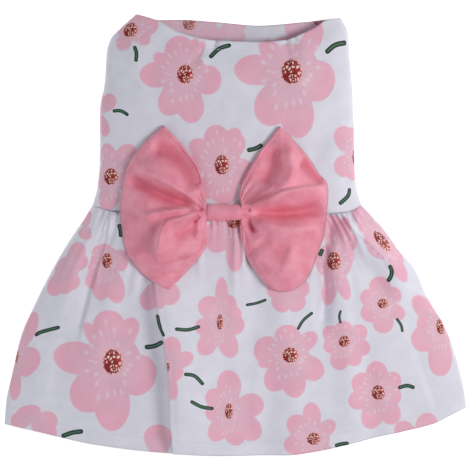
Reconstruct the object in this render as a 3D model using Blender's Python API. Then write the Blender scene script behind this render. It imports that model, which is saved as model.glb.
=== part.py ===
"""A small dog's dress, lying flat with its belly side down and its bow up.

The neck points to +Y and the hem to -Y. Each cloth is a closed wall. Places on the cloth are given
by two shares: across, from -1 at the left side seam to 1 at the right one, and down, from 0 at the
top edge of the piece to 1 at its bottom edge.
"""

import bisect
import math
from collections import namedtuple

import bmesh
import bpy
from mathutils import Vector

MM = 0.001

# Cloth and clearances
CLOTH = 1.2 * MM
BOW_CLOTH = 2.2 * MM
BOW_EDGE = 0.8 * MM
GAP = 0.3 * MM
BOW_REST = 0.8 * MM
BOW_BRIDGE = 8.0 * MM

# Bodice
BODICE_LENGTH = 138.7 * MM
NECK_WIDTH = 140.0 * MM
NECK_SHIFT = 8.0 * MM
CHEST_WIDTH = 174.0 * MM
BODICE_SHIFT = -5.8 * MM
BACK_NECK_DEPTH = 19.6 * MM
BELLY_NECK_DEPTH = 7.8 * MM
BODICE_PUFF = 20.0 * MM
CREASE_RISE = 3.0 * MM
LEG_HOLE_WIDTH = 38.0 * MM
LEG_HOLE_LENGTH = 50.0 * MM
LEG_HOLE_SPACING = 84.0 * MM
LEG_HOLE_DOWN = 64.0 * MM

# Waist seam
WAIST_WIDTH = 184.0 * MM
WAIST_CURVE = 8.0 * MM
WAIST_PUFF = 18.0 * MM

# Skirt
SKIRT_LENGTH = 162.5 * MM
HEM_WIDTH = 316.0 * MM
HEM_CURVE = 32.6 * MM
BELLY_HEM_RISE = 6.0 * MM
SKIRT_PUFF = 24.0 * MM
FOLD_RISE = 6.5 * MM
PLEAT_RISE = 5.0 * MM
GATHER_RISE = 2.4 * MM
GATHERS = 12

# Bow
WING_REACH = 60.0 * MM
WING_RISE = 14.0 * MM
NECK_ACROSS = 8.4 * MM
NECK_THICK = 6.5 * MM
NECK_SHOWING = 2.0 * MM
BAND_LENGTH = 23.0 * MM
BAND_WALL = 1.5 * MM
BAND_ROUNDING = 0.6 * MM
BOW_ABOVE_WAIST = 3.0 * MM
BOW_SHIFT = -2.0 * MM

# How finely each piece is divided: columns across, rows along
BODICE_GRID = (32, 13)
BELLY_GRID = (20, 8)
SKIRT_GRID = (54, 20)
SKIRT_BELLY_GRID = (24, 10)
WING_GRID = (26, 10)
NECK_ROWS = 3
BAND_SIDES = 20
BAND_SEATS = 6
HOLE_SIDES = 28

# How full the side edges of a puffed cloth are: 2 is an ellipse, more is boxier
FULLNESS = 2.4

# Shares of a piece's width or length over which its forms start and fade
FOLD_ENDS = 0.3
SEAM_SMOOTHING = 0.08
GATHER_START = 0.05
GATHER_FADE = 0.13
GATHER_WANDER = 0.04
GATHER_WANDER_TURNS = 7.0
PLEAT_EDGE = 0.035
PLEAT_FADE = 0.30
NECK_BLEND = 0.3
BUNDLE_BLEND = 0.4
WING_START = 0.08

# Settings of the meshes: crowding near the side seams and the bow's neck, and small steps
EDGE_CROWDING = 0.3
WING_CROWDING = 1.2
TINY = 0.0005
CLOSING_STEPS = 8
SHARP_ANGLE = math.radians(50)
SLOPE_ALLOWANCE = 0.8

# The neck edge: how far it drops below the neck's highest point, as shares of the two neck depths
NeckRow = namedtuple("NeckRow", "across back belly")
NECK_LINE = [
    NeckRow(-1.00, 0.00, 0.00),
    NeckRow(-0.78, 0.26, 0.52),
    NeckRow(-0.57, 0.68, 0.50),
    NeckRow(-0.22, 0.95, 0.70),
    NeckRow(0.20, 1.00, 1.00),
    NeckRow(0.46, 0.93, 0.85),
    NeckRow(0.61, 0.72, 0.72),
    NeckRow(0.74, 0.50, 0.62),
    NeckRow(0.86, 0.22, 0.47),
    NeckRow(1.00, 0.14, 0.35),
]

# The bodice at each level: left and right run from the neck's width (0) to the chest's (1),
# waist from the chest's width to the waist's, and puff is the height as a share of BODICE_PUFF.
BodiceRow = namedtuple("BodiceRow", "down left right waist puff")
BODICE_LEVELS = [
    BodiceRow(0.00, 0.00, 0.00, 0.00, 0.55),
    BodiceRow(0.07, 0.41, 0.50, 0.00, 0.66),
    BodiceRow(0.13, 0.70, 0.60, 0.00, 0.76),
    BodiceRow(0.20, 0.81, 0.65, 0.00, 0.84),
    BodiceRow(0.35, 0.86, 0.84, 0.00, 0.94),
    BodiceRow(0.50, 0.99, 0.94, 0.00, 1.00),
    BodiceRow(0.65, 1.00, 1.00, 0.00, 1.00),
    BodiceRow(0.80, 1.00, 1.00, 0.05, 1.00),
    BodiceRow(0.92, 1.00, 1.00, 0.40, 1.00),
    BodiceRow(1.00, 1.00, 1.00, 1.00, 1.00),
]

# The waist seam: how far it rises above its middle, as a share of WAIST_CURVE
WaistRow = namedtuple("WaistRow", "across rise")
WAIST_LINE = [
    WaistRow(-1.00, 1.00),
    WaistRow(-0.90, 0.60),
    WaistRow(-0.78, 0.38),
    WaistRow(0.00, 0.00),
    WaistRow(0.78, 0.28),
    WaistRow(0.92, 0.50),
    WaistRow(1.00, 1.05),
]

# The skirt at each level: left and right run from the waist's width (0) to the hem's (1),
# waist and puff are its height as shares of WAIST_PUFF and of SKIRT_PUFF.
SkirtRow = namedtuple("SkirtRow", "down left right waist puff")
SKIRT_LEVELS = [
    SkirtRow(0.00, 0.00, 0.00, 1.00, 0.00),
    SkirtRow(0.06, 0.09, 0.11, 0.50, 0.50),
    SkirtRow(0.12, 0.19, 0.21, 0.15, 0.84),
    SkirtRow(0.22, 0.35, 0.35, 0.00, 0.97),
    SkirtRow(0.32, 0.49, 0.51, 0.00, 0.92),
    SkirtRow(0.45, 0.65, 0.62, 0.00, 0.82),
    SkirtRow(0.60, 0.81, 0.79, 0.00, 0.70),
    SkirtRow(0.75, 0.90, 0.90, 0.00, 0.58),
    SkirtRow(0.90, 0.98, 0.97, 0.00, 0.46),
    SkirtRow(1.00, 1.00, 1.00, 0.00, 0.40),
]

# The hem: how far it rises above its lowest point, as a share of HEM_CURVE
HemRow = namedtuple("HemRow", "across rise")
HEM_LINE = [
    HemRow(-1.00, 0.65),
    HemRow(-0.87, 0.52),
    HemRow(-0.74, 0.31),
    HemRow(-0.62, 0.165),
    HemRow(-0.36, 0.06),
    HemRow(-0.04, 0.00),
    HemRow(0.22, 0.00),
    HemRow(0.34, 0.02),
    HemRow(0.47, 0.13),
    HemRow(0.60, 0.35),
    HemRow(0.73, 0.43),
    HemRow(0.86, 0.56),
    HemRow(0.92, 0.80),
    HemRow(1.00, 1.00),
]

# Folds run from one place to another. A width is a share of half the cloth's width there, and a
# rise is a share of CREASE_RISE or FOLD_RISE; a valley has a rise below 0.
Fold = namedtuple("Fold", "across_from down_from across_to down_to width rise")
BODICE_CREASES = [
    Fold(-0.25, 0.00, -0.32, 0.16, 0.06, -0.70),
    Fold(0.46, 0.00, 0.52, 0.14, 0.05, -0.80),
    Fold(0.58, 0.02, 0.62, 0.30, 0.09, 0.50),
    Fold(-0.80, 0.10, -0.66, 0.42, 0.08, 0.50),
    Fold(0.78, 0.52, 0.60, 0.86, 0.09, -0.50),
    Fold(-0.72, 0.62, -0.56, 0.95, 0.09, -0.40),
]
SKIRT_FOLDS = [
    Fold(-0.91, 0.02, -0.86, 0.50, 0.050, 0.70),
    Fold(-0.79, 0.02, -0.73, 0.52, 0.045, -0.75),
    Fold(-0.66, 0.00, -0.64, 0.70, 0.060, 0.55),
    Fold(-0.52, 0.16, -0.36, 1.00, 0.070, -0.80),
    Fold(-0.82, 0.55, -0.80, 1.00, 0.080, -0.50),
    Fold(-0.16, 0.30, -0.08, 1.00, 0.130, 0.40),
    Fold(0.14, 0.25, 0.12, 1.00, 0.080, -0.35),
    Fold(0.28, 0.30, 0.26, 1.00, 0.080, 0.40),
    Fold(0.72, 0.00, 0.50, 0.50, 0.050, -0.90),
    Fold(0.62, 0.20, 0.50, 0.95, 0.060, 0.70),
    Fold(0.60, 0.55, 0.61, 1.00, 0.050, -0.60),
    Fold(0.83, 0.02, 0.91, 0.38, 0.050, 1.00),
    Fold(0.76, 0.10, 0.80, 0.42, 0.050, -0.60),
    Fold(0.80, 0.40, 0.84, 1.00, 0.060, 0.75),
    Fold(0.93, 0.45, 0.92, 1.00, 0.045, -0.55),
]

# The large pleat: the cloth on its right lies over the cloth on its left
PleatRow = namedtuple("PleatRow", "down across rise")
PLEAT_LINE = [
    PleatRow(0.20, -0.47, 0.00),
    PleatRow(0.28, -0.43, 0.60),
    PleatRow(0.50, -0.32, 1.00),
    PleatRow(0.68, -0.29, 1.00),
    PleatRow(1.00, -0.26, 1.00),
]

# The two wings of the bow: turn is the direction out of the neck, 1 up and -1 down, and reach is a
# share of WING_REACH; rise is the height of the fold there as a share of WING_RISE.
WingRow = namedtuple("WingRow", "turn reach")
FoldRow = namedtuple("FoldRow", "turn rise")
LEFT_WING = [
    WingRow(-1.00, 0.96),
    WingRow(-0.79, 0.98),
    WingRow(-0.38, 0.98),
    WingRow(-0.08, 0.94),
    WingRow(0.13, 0.95),
    WingRow(0.45, 1.01),
    WingRow(0.75, 1.04),
    WingRow(1.00, 1.09),
]
LEFT_FOLDS = [
    FoldRow(-1.00, 0.40),
    FoldRow(-0.80, 0.62),
    FoldRow(-0.58, 0.20),
    FoldRow(-0.36, 0.85),
    FoldRow(-0.16, 0.25),
    FoldRow(0.04, 1.00),
    FoldRow(0.38, 0.15),
    FoldRow(0.62, 0.80),
    FoldRow(0.85, 0.30),
    FoldRow(1.00, 0.55),
]
RIGHT_WING = [
    WingRow(-1.00, 0.99),
    WingRow(-0.80, 1.04),
    WingRow(-0.60, 1.00),
    WingRow(-0.36, 0.94),
    WingRow(-0.10, 0.94),
    WingRow(0.13, 0.96),
    WingRow(0.30, 1.00),
    WingRow(0.50, 0.96),
    WingRow(0.83, 0.99),
    WingRow(1.00, 1.06),
]
RIGHT_FOLDS = [
    FoldRow(-1.00, 0.40),
    FoldRow(-0.68, 0.80),
    FoldRow(-0.44, 0.15),
    FoldRow(-0.10, 0.85),
    FoldRow(0.12, 0.15),
    FoldRow(0.36, 1.00),
    FoldRow(0.47, 0.45),
    FoldRow(0.57, 0.65),
    FoldRow(0.83, 0.30),
    FoldRow(1.00, 0.50),
]
# The edges of a wing, in degrees from level, near the neck and at the tips
NEAR_ANGLE = 88.0
TIP_ANGLE = 66.0

# How the folds of a wing rise from the neck to the tip
LiftRow = namedtuple("LiftRow", "out lift")
WING_LIFT = [
    LiftRow(0.00, 0.00),
    LiftRow(0.15, 0.28),
    LiftRow(0.40, 0.85),
    LiftRow(0.70, 1.00),
    LiftRow(1.00, 0.60),
]

# Finishes: colour, roughness
PRINTED_CLOTH = ((0.78, 0.74, 0.82, 1.0), 0.80)
WRONG_SIDE = ((0.80, 0.79, 0.86, 1.0), 0.85)
BOW_SATIN = ((0.73, 0.20, 0.27, 1.0), 0.55)


def smooth_curve(places, values):
    """A smooth curve through the values that never swings past them."""
    steps = [after - before for before, after in zip(places, places[1:])]
    rises = [(after - before) / step for before, after, step in zip(values, values[1:], steps)]
    slopes = [rises[0]]
    for before, after in zip(rises, rises[1:]):
        slopes.append(2 * before * after / (before + after) if before * after > 0 else 0.0)
    slopes.append(rises[-1])

    def read(at):
        at = min(max(at, places[0]), places[-1])
        row = min(bisect.bisect_right(places, at), len(steps)) - 1
        share = (at - places[row]) / steps[row]
        bend_from = slopes[row] * steps[row]
        bend_to = slopes[row + 1] * steps[row]
        rise = values[row + 1] - values[row]
        curved = bend_from + share * (3 * rise - 2 * bend_from - bend_to)
        return values[row] + share * (curved + share * share * (bend_from + bend_to - 2 * rise))

    return read


def column(rows, name, along):
    """One named column of a table, as a smooth curve of another."""
    return smooth_curve([getattr(row, along) for row in rows], [getattr(row, name) for row in rows])


def ease(share):
    share = min(max(share, 0.0), 1.0)
    return share * share * (3 - 2 * share)


def mix(first, second, share):
    return first + (second - first) * share


back_neck_drop = column(NECK_LINE, "back", "across")
belly_neck_drop = column(NECK_LINE, "belly", "across")
waist_rise = column(WAIST_LINE, "rise", "across")
hem_rise = column(HEM_LINE, "rise", "across")
bodice_left = column(BODICE_LEVELS, "left", "down")
bodice_right = column(BODICE_LEVELS, "right", "down")
bodice_waist = column(BODICE_LEVELS, "waist", "down")
bodice_puff = column(BODICE_LEVELS, "puff", "down")
skirt_left = column(SKIRT_LEVELS, "left", "down")
skirt_right = column(SKIRT_LEVELS, "right", "down")
skirt_waist = column(SKIRT_LEVELS, "waist", "down")
skirt_puff = column(SKIRT_LEVELS, "puff", "down")
pleat_across = column(PLEAT_LINE, "across", "down")
pleat_rise = column(PLEAT_LINE, "rise", "down")
wing_lift = column(WING_LIFT, "lift", "out")


def bodice_sides(down):
    """The x of the bodice's two side seams at one level."""
    neck_left = NECK_SHIFT - NECK_WIDTH / 2
    neck_right = NECK_SHIFT + NECK_WIDTH / 2
    left = mix(neck_left, -CHEST_WIDTH / 2, bodice_left(down))
    right = mix(neck_right, CHEST_WIDTH / 2, bodice_right(down))
    left = mix(left, -WAIST_WIDTH / 2, bodice_waist(down))
    right = mix(right, WAIST_WIDTH / 2, bodice_waist(down))
    return BODICE_SHIFT + left, BODICE_SHIFT + right


def skirt_sides(down):
    """The x of the skirt's two side seams at one level."""
    left = mix(BODICE_SHIFT - WAIST_WIDTH / 2, -HEM_WIDTH / 2, skirt_left(down))
    right = mix(BODICE_SHIFT + WAIST_WIDTH / 2, HEM_WIDTH / 2, skirt_right(down))
    return left, right


def waist_y(across):
    return WAIST_CURVE * waist_rise(across)


def back_neck_y(across):
    return BODICE_LENGTH - BACK_NECK_DEPTH * back_neck_drop(across)


def belly_neck_y(across):
    """The belly's neck edge, which meets the back's at the two side seams."""
    side = -1.0 if across < 0 else 1.0
    seam_drop = BACK_NECK_DEPTH * back_neck_drop(side) - BELLY_NECK_DEPTH * belly_neck_drop(side)
    return BODICE_LENGTH - BELLY_NECK_DEPTH * belly_neck_drop(across) - seam_drop * across * across


def hem_y(across):
    return -SKIRT_LENGTH + HEM_CURVE * hem_rise(across)


def belly_hem_y(across):
    return hem_y(across) + BELLY_HEM_RISE * (1 - across * across)


def between(sides, across):
    return mix(sides[0], sides[1], (across + 1) / 2)


def fullness(across):
    """The height of a puffed cloth across its width, 0 at its side seams."""
    return max(1 - abs(across) ** FULLNESS, 0.0) ** (1 / FULLNESS)


def folds_at(folds, across, down):
    """The sum of the folds' rises at one place."""
    total = 0.0
    for fold in folds:
        run = (down - fold.down_from) / (fold.down_to - fold.down_from)
        line = mix(fold.across_from, fold.across_to, run)
        near = math.exp(-(((across - line) / fold.width) ** 2))
        starts = 1.0 if fold.down_from <= 0 else ease(run / FOLD_ENDS + FOLD_ENDS)
        ends = 1.0 if fold.down_to >= 1 else ease((1 - run) / FOLD_ENDS + FOLD_ENDS)
        total += fold.rise * near * starts * ends
    return total


def pleat_at(across, down):
    """The step of the large pleat, which dies away to its right."""
    past = across - pleat_across(down)
    step = ease(past / PLEAT_EDGE + 0.5)
    return pleat_rise(down) * step * (1 - ease(past / PLEAT_FADE))


def gathers_at(across, down):
    """The small gathers that spring out of the waist seam."""
    wander = GATHER_WANDER * math.sin(GATHER_WANDER_TURNS * across)
    wave = math.cos(math.pi * GATHERS * (across + wander))
    return wave * ease(down / GATHER_START) * math.exp(-down / GATHER_FADE)


def bodice_height(across, down):
    puff = mix(BODICE_PUFF * bodice_puff(down), WAIST_PUFF, bodice_waist(down))
    creases = CREASE_RISE * folds_at(BODICE_CREASES, across, down) * (1 - bodice_waist(down))
    return CLOTH + GAP + fullness(across) * (puff + creases)


def skirt_height(across, down):
    puff = WAIST_PUFF * skirt_waist(down) + SKIRT_PUFF * skirt_puff(down)
    folds = FOLD_RISE * folds_at(SKIRT_FOLDS, across, down) + PLEAT_RISE * pleat_at(across, down)
    gathers = GATHER_RISE * gathers_at(across, down)
    forms = (folds + gathers) * ease(down / SEAM_SMOOTHING)
    return CLOTH + GAP + fullness(across) * (puff + forms)


def bodice_back_point(across, down):
    y = mix(back_neck_y(across), waist_y(across) + GAP, down)
    return Vector((between(bodice_sides(down), across), y, bodice_height(across, down)))


def skirt_back_point(across, down):
    y = mix(waist_y(across), hem_y(across), down)
    return Vector((between(skirt_sides(down), across), y, skirt_height(across, down)))


def bodice_belly_point(across, down):
    y = mix(belly_neck_y(across), waist_y(across) + GAP, down)
    return Vector((between(bodice_sides(down), across), y, CLOTH))


def skirt_belly_point(across, down):
    y = mix(waist_y(across), belly_hem_y(across), down)
    return Vector((between(skirt_sides(down), across), y, CLOTH))


def cloth_top(x, y):
    """The height of the dress's upper cloth at one place, found by closing in on its two shares."""
    on_bodice = True
    for top, bottom, sides, height in (
        (back_neck_y, waist_y, bodice_sides, bodice_height),
        (waist_y, hem_y, skirt_sides, skirt_height),
    ):
        across, down = 0.0, 0.5
        for _ in range(CLOSING_STEPS):
            left, right = sides(down)
            across = min(max((2 * x - left - right) / (right - left), -1.0), 1.0)
            down = (y - top(across)) / (bottom(across) - top(across))
        if on_bodice and down <= 1:
            return height(across, max(down, 0.0))
        on_bodice = False
    return height(across, min(max(down, 0.0), 1.0))


def facing(point_at, across, down):
    """The direction out of a cloth at one place. At a side seam it points straight out."""
    if abs(across) >= 1:
        return Vector((math.copysign(1.0, across), 0, 0))
    low, high = max(down - TINY, 0.0), min(down + TINY, 1.0)
    over = point_at(across + TINY, down) - point_at(across - TINY, down)
    along = point_at(across, low) - point_at(across, high)
    return over.cross(along).normalized()


def shares(columns, rows):
    """A grid of places, crowded a little towards the side seams where the cloth turns down."""
    grid = []
    for row in range(rows + 1):
        line = []
        for step in range(columns + 1):
            share = 2 * step / columns - 1
            across = share * (1 + EDGE_CROWDING * (1 - share * share))
            line.append((across, row / rows))
        grid.append(line)
    return grid


def fabric(name, finish):
    """A cloth material."""
    colour, roughness = finish
    material = bpy.data.materials.new(name)
    material.use_nodes = True
    shader = material.node_tree.nodes["Principled BSDF"]
    shader.inputs["Base Color"].default_value = colour
    shader.inputs["Roughness"].default_value = roughness
    shader.inputs["Metallic"].default_value = 0.0
    shader.inputs["Sheen Weight"].default_value = 0.3
    material.diffuse_color = colour
    return material


def finished(name, form, finish):
    """An object from a bmesh, facing outwards and shaded smooth."""
    bmesh.ops.recalc_face_normals(form, faces=form.faces)
    mesh = bpy.data.meshes.new(name)
    form.to_mesh(mesh)
    form.free()
    mesh.shade_smooth()
    mesh.set_sharp_from_angle(angle=SHARP_ANGLE)
    mesh.materials.append(fabric(name + "_cloth", finish))
    piece = bpy.data.objects.new(name, mesh)
    bpy.context.scene.collection.objects.link(piece)
    return piece


def walled(name, outer, inner, finish):
    """A closed wall between two grids of points, joined round their four borders."""
    form = bmesh.new()
    tops = [[form.verts.new(point) for point in line] for line in outer]
    bottoms = [[form.verts.new(point) for point in line] for line in inner]
    rows, columns = len(outer), len(outer[0])
    for grid in (tops, bottoms):
        for row in range(rows - 1):
            for step in range(columns - 1):
                near, far = grid[row], grid[row + 1]
                form.faces.new((near[step], near[step + 1], far[step + 1], far[step]))
    rim = [(0, step) for step in range(columns)]
    rim += [(row, columns - 1) for row in range(1, rows)]
    rim += [(rows - 1, step) for step in reversed(range(columns - 1))]
    rim += [(row, 0) for row in reversed(range(1, rows - 1))]
    for (row, step), (next_row, next_step) in zip(rim, rim[1:] + rim[:1]):
        upper = (tops[row][step], tops[next_row][next_step])
        lower = (bottoms[next_row][next_step], bottoms[row][step])
        form.faces.new(upper + lower)
    return finished(name, form, finish)


def puffed_cloth(name, point_at, grid, finish):
    """An upper cloth, whose wall lies inside its outer surface."""
    places = shares(*grid)
    outer = [[point_at(*place) for place in line] for line in places]
    inner = [
        [point - facing(point_at, *place) * CLOTH for point, place in zip(line, spots)]
        for line, spots in zip(outer, places)
    ]
    return walled(name, outer, inner, finish)


def flat_cloth(name, point_at, grid, finish):
    """A lower cloth, flat on the surface that the dress lies on."""
    outer = [[point_at(*place) for place in line] for line in shares(*grid)]
    inner = [[point - Vector((0, 0, CLOTH)) for point in line] for line in outer]
    return walled(name, outer, inner, finish)


def cut_leg_holes(belly):
    """Cuts the two oval leg holes through the belly cloth."""
    cutters = []
    for side, place in (("left", -0.5), ("right", 0.5)):
        form = bmesh.new()
        bmesh.ops.create_cone(
            form,
            cap_ends=True,
            segments=HOLE_SIDES,
            radius1=0.5,
            radius2=0.5,
            depth=LEG_HOLE_LENGTH,
        )
        bmesh.ops.scale(form, vec=(LEG_HOLE_WIDTH, LEG_HOLE_LENGTH, 1), verts=form.verts)
        cutter = finished("leg_hole_cutter_" + side, form, WRONG_SIDE)
        cutter.location.x = BODICE_SHIFT + place * LEG_HOLE_SPACING
        cutter.location.y = BODICE_LENGTH - LEG_HOLE_DOWN
        cutter.hide_render = True
        cutter.display_type = "WIRE"
        hole = belly.modifiers.new("Leg hole " + side, "BOOLEAN")
        hole.operation = "DIFFERENCE"
        hole.solver = "EXACT"
        hole.object = cutter
        cutters.append(cutter)
    return cutters


def bow_place():
    """The middle of the bow in plan, and the height of the cloth under its band."""
    middle_x = BODICE_SHIFT + BOW_SHIFT
    middle_y = BOW_ABOVE_WAIST
    half_width = NECK_ACROSS / 2 + GAP + BAND_WALL
    half_height = NECK_THICK / 2 + GAP + BAND_WALL
    steps = [step / BAND_SEATS for step in range(-BAND_SEATS, BAND_SEATS + 1)]
    tops = []
    for side in steps:
        underside = half_height * (1 - math.sqrt(1 - side * side))
        for out in steps:
            x = middle_x + out * BAND_LENGTH / 2
            tops.append(cloth_top(x, middle_y + side * half_width) - underside)
    return middle_x, middle_y, max(tops) + GAP


def resting_height(x, y):
    """The height of the cloth that the bow rests on, averaged because the bow bridges small gathers."""
    steps = ((0, 0), (BOW_BRIDGE, 0), (-BOW_BRIDGE, 0), (0, BOW_BRIDGE), (0, -BOW_BRIDGE))
    return sum(cloth_top(x + step_x, y + step_y) for step_x, step_y in steps) / len(steps)


def wing_line(place, out, side, reach, rise, turns):
    """One line of a wing from top edge to bottom edge: the middle of its cloth and its thickness."""
    middle_x, middle_y, seat = place
    neck_z = seat + BAND_WALL + GAP + NECK_THICK / 2
    spread = math.radians(mix(NEAR_ANGLE, TIP_ANGLE, out))
    line = []
    for turn in turns:
        far = out * WING_REACH * reach(turn)
        x = middle_x + side * (BAND_LENGTH / 2 + NECK_SHOWING + far * math.cos(turn * spread))
        y = middle_y + far * math.sin(turn * spread) + turn * NECK_ACROSS / 2 * (1 - out)
        bundle = max(NECK_THICK * math.sqrt(1 - turn * turn), BOW_EDGE)
        thick = mix(bundle, BOW_CLOTH, ease(out / BUNDLE_BLEND))
        wing_z = resting_height(x, y) + BOW_REST + thick / 2
        z = mix(neck_z, wing_z, ease(out / NECK_BLEND)) + WING_RISE * rise(turn) * wing_lift(out)
        if out > WING_START:
            z = max(z, cloth_top(x, y) + BOW_REST + SLOPE_ALLOWANCE * thick)
        line.append((Vector((x, y, z)), thick))
    return line


def bow(place):
    """The doubled cloth of the bow: two wings of folds that run together in a pinched neck."""
    steps, rows = WING_GRID
    turns = [1 - 2 * step / steps for step in range(steps + 1)]
    left_reach = column(LEFT_WING, "reach", "turn")
    left_rise = column(LEFT_FOLDS, "rise", "turn")
    right_reach = column(RIGHT_WING, "reach", "turn")
    right_rise = column(RIGHT_FOLDS, "rise", "turn")
    outs = [(row / rows) ** WING_CROWDING for row in range(rows + 1)]
    left = [wing_line(place, out, -1, left_reach, left_rise, turns) for out in outs]
    right = [wing_line(place, out, 1, right_reach, right_rise, turns) for out in outs]
    lines = left[::-1]
    neck_from, neck_to = lines[-1], right[0]
    for row in range(1, NECK_ROWS):
        share = row / NECK_ROWS
        lines.append([(a.lerp(b, share), thick) for (a, thick), (b, _) in zip(neck_from, neck_to)])
    lines += right
    outer, inner = [], []
    for row, line in enumerate(lines):
        before, after = lines[max(row - 1, 0)], lines[min(row + 1, len(lines) - 1)]
        tops, bottoms = [], []
        for step, (point, thick) in enumerate(line):
            along = after[step][0] - before[step][0]
            over = line[max(step - 1, 0)][0] - line[min(step + 1, steps)][0]
            out = along.cross(over).normalized()
            tops.append(point + out * thick / 2)
            bottoms.append(point - out * thick / 2)
        outer.append(tops)
        inner.append(bottoms)
    return walled("bow_cloth", outer, inner, BOW_SATIN)


def band(place):
    """The band wrapped round the bow's neck, an oval ring with its hole along X."""
    middle_x, middle_y, seat = place
    middle = Vector((middle_x, middle_y, seat + BAND_WALL + GAP + NECK_THICK / 2))
    hole_y = NECK_ACROSS / 2 + GAP
    hole_z = NECK_THICK / 2 + GAP
    stations = [(-0.5, 0.0), (0.5, 0.0), (0.5, 1.0), (-0.5, 1.0)]
    form = bmesh.new()
    rings = []
    for along, wall in stations:
        ring = []
        for side in range(BAND_SIDES):
            angle = 2 * math.pi * side / BAND_SIDES
            y = (hole_y + wall * BAND_WALL) * math.cos(angle)
            z = (hole_z + wall * BAND_WALL) * math.sin(angle)
            ring.append(form.verts.new(middle + Vector((along * BAND_LENGTH, y, z))))
        rings.append(ring)
    for ring, following in zip(rings, rings[1:] + rings[:1]):
        for side in range(BAND_SIDES):
            turn = (side + 1) % BAND_SIDES
            form.faces.new((ring[side], ring[turn], following[turn], following[side]))
    piece = finished("bow_band", form, BOW_SATIN)
    rounding = piece.modifiers.new("Soft edges", "BEVEL")
    rounding.width = min(BAND_ROUNDING, 0.45 * BAND_WALL)
    rounding.segments = 2
    rounding.limit_method = "ANGLE"
    rounding.angle_limit = SHARP_ANGLE
    return piece


def stand_on_origin(pieces, helpers):
    """Hangs the pieces on one empty, placed so that the dress's footprint is centred on the origin."""
    bpy.context.view_layer.update()
    corners = [piece.matrix_world @ Vector(corner) for piece in pieces for corner in piece.bound_box]
    low = [min(corner[axis] for corner in corners) for axis in range(3)]
    high = [max(corner[axis] for corner in corners) for axis in range(3)]
    dress = bpy.data.objects.new("dog_dress", None)
    bpy.context.scene.collection.objects.link(dress)
    dress.location = (-(low[0] + high[0]) / 2, -(low[1] + high[1]) / 2, -low[2])
    for piece in pieces + helpers:
        piece.parent = dress


def build():
    for old in list(bpy.data.objects):
        bpy.data.objects.remove(old, do_unlink=True)
    belly = flat_cloth("bodice_belly", bodice_belly_point, BELLY_GRID, WRONG_SIDE)
    cutters = cut_leg_holes(belly)
    place = bow_place()
    pieces = [
        belly,
        puffed_cloth("bodice_back", bodice_back_point, BODICE_GRID, PRINTED_CLOTH),
        flat_cloth("skirt_belly", skirt_belly_point, SKIRT_BELLY_GRID, WRONG_SIDE),
        puffed_cloth("skirt_back", skirt_back_point, SKIRT_GRID, PRINTED_CLOTH),
        bow(place),
        band(place),
    ]
    stand_on_origin(pieces, cutters)


build()
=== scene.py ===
# %% [markdown]
# # A dog's dress, lying flat with its bow up
#
# The dress has a bodice and a gathered skirt, each with an upper cloth (the back) and a lower cloth
# (the belly), and a pink bow on the waist seam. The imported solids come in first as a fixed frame, and
# every cloth made here stands for one of them.

import math
from collections import namedtuple

import bmesh
import bpy
import numpy as np
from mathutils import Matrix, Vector


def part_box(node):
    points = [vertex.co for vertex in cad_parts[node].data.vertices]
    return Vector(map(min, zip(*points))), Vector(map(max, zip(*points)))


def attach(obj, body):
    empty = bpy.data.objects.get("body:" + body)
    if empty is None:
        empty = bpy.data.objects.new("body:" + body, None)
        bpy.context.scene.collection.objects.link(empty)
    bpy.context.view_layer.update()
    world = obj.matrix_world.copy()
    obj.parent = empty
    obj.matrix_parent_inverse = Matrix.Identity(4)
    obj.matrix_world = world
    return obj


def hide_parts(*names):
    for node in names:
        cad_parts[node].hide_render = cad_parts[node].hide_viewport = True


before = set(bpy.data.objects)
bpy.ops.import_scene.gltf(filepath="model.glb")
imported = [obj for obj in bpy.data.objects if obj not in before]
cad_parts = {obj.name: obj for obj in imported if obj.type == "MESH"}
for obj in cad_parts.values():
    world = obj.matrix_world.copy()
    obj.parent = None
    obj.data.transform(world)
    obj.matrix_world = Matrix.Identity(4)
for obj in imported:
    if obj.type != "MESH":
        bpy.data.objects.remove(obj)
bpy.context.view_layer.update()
MM = 0.001

# %% [markdown]
# The photograph is 470 pixels wide and one pixel is 0.68 mm of the dress, seen from straight above.
# Folds, blossoms and edges are written down as places in the photograph, because they can be checked
# there by eye. One helper turns such a place into metres, and another turns metres back.

# %% From the photograph to the table and back
PIXEL = 0.68 * MM
MIDDLE_PX = (235.5, 234.47)


def plan(px, py):
    """The place on the table, in metres, of a place in the photograph."""
    return (np.asarray(px) - MIDDLE_PX[0]) * PIXEL, (MIDDLE_PX[1] - np.asarray(py)) * PIXEL


def pixels(x, y):
    """The place in the photograph of a place on the table."""
    return np.asarray(x) / PIXEL + MIDDLE_PX[0], MIDDLE_PX[1] - np.asarray(y) / PIXEL


print("one pixel is", PIXEL / MM, "mm")

# %% [markdown]
# A dressmaker draws a few points and joins them with a smooth line. `smooth_curve` does that for
# numbers, without swinging past them, and `smooth_line` does it for places.

# %% Smooth curves and lines


def smooth_curve(places, values):
    """A smooth curve through the values that never swings past them."""
    places = np.array(places, float)
    values = np.array(values, float)
    steps = np.diff(places)
    rises = np.diff(values) / steps
    before, after = rises[:-1], rises[1:]
    total = np.where(before * after > 0, before + after, 1.0)
    inner = np.where(before * after > 0, 2 * before * after / total, 0.0)
    slopes = np.concatenate([rises[:1], inner, rises[-1:]])

    def read(at):
        at = np.clip(at, places[0], places[-1])
        row = np.clip(np.searchsorted(places, at, side="right") - 1, 0, len(steps) - 1)
        share = (at - places[row]) / steps[row]
        bend_from = slopes[row] * steps[row]
        bend_to = slopes[row + 1] * steps[row]
        rise = values[row + 1] - values[row]
        curved = bend_from + share * (3 * rise - 2 * bend_from - bend_to)
        return values[row] + share * (curved + share * share * (bend_from + bend_to - 2 * rise))

    return read


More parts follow.
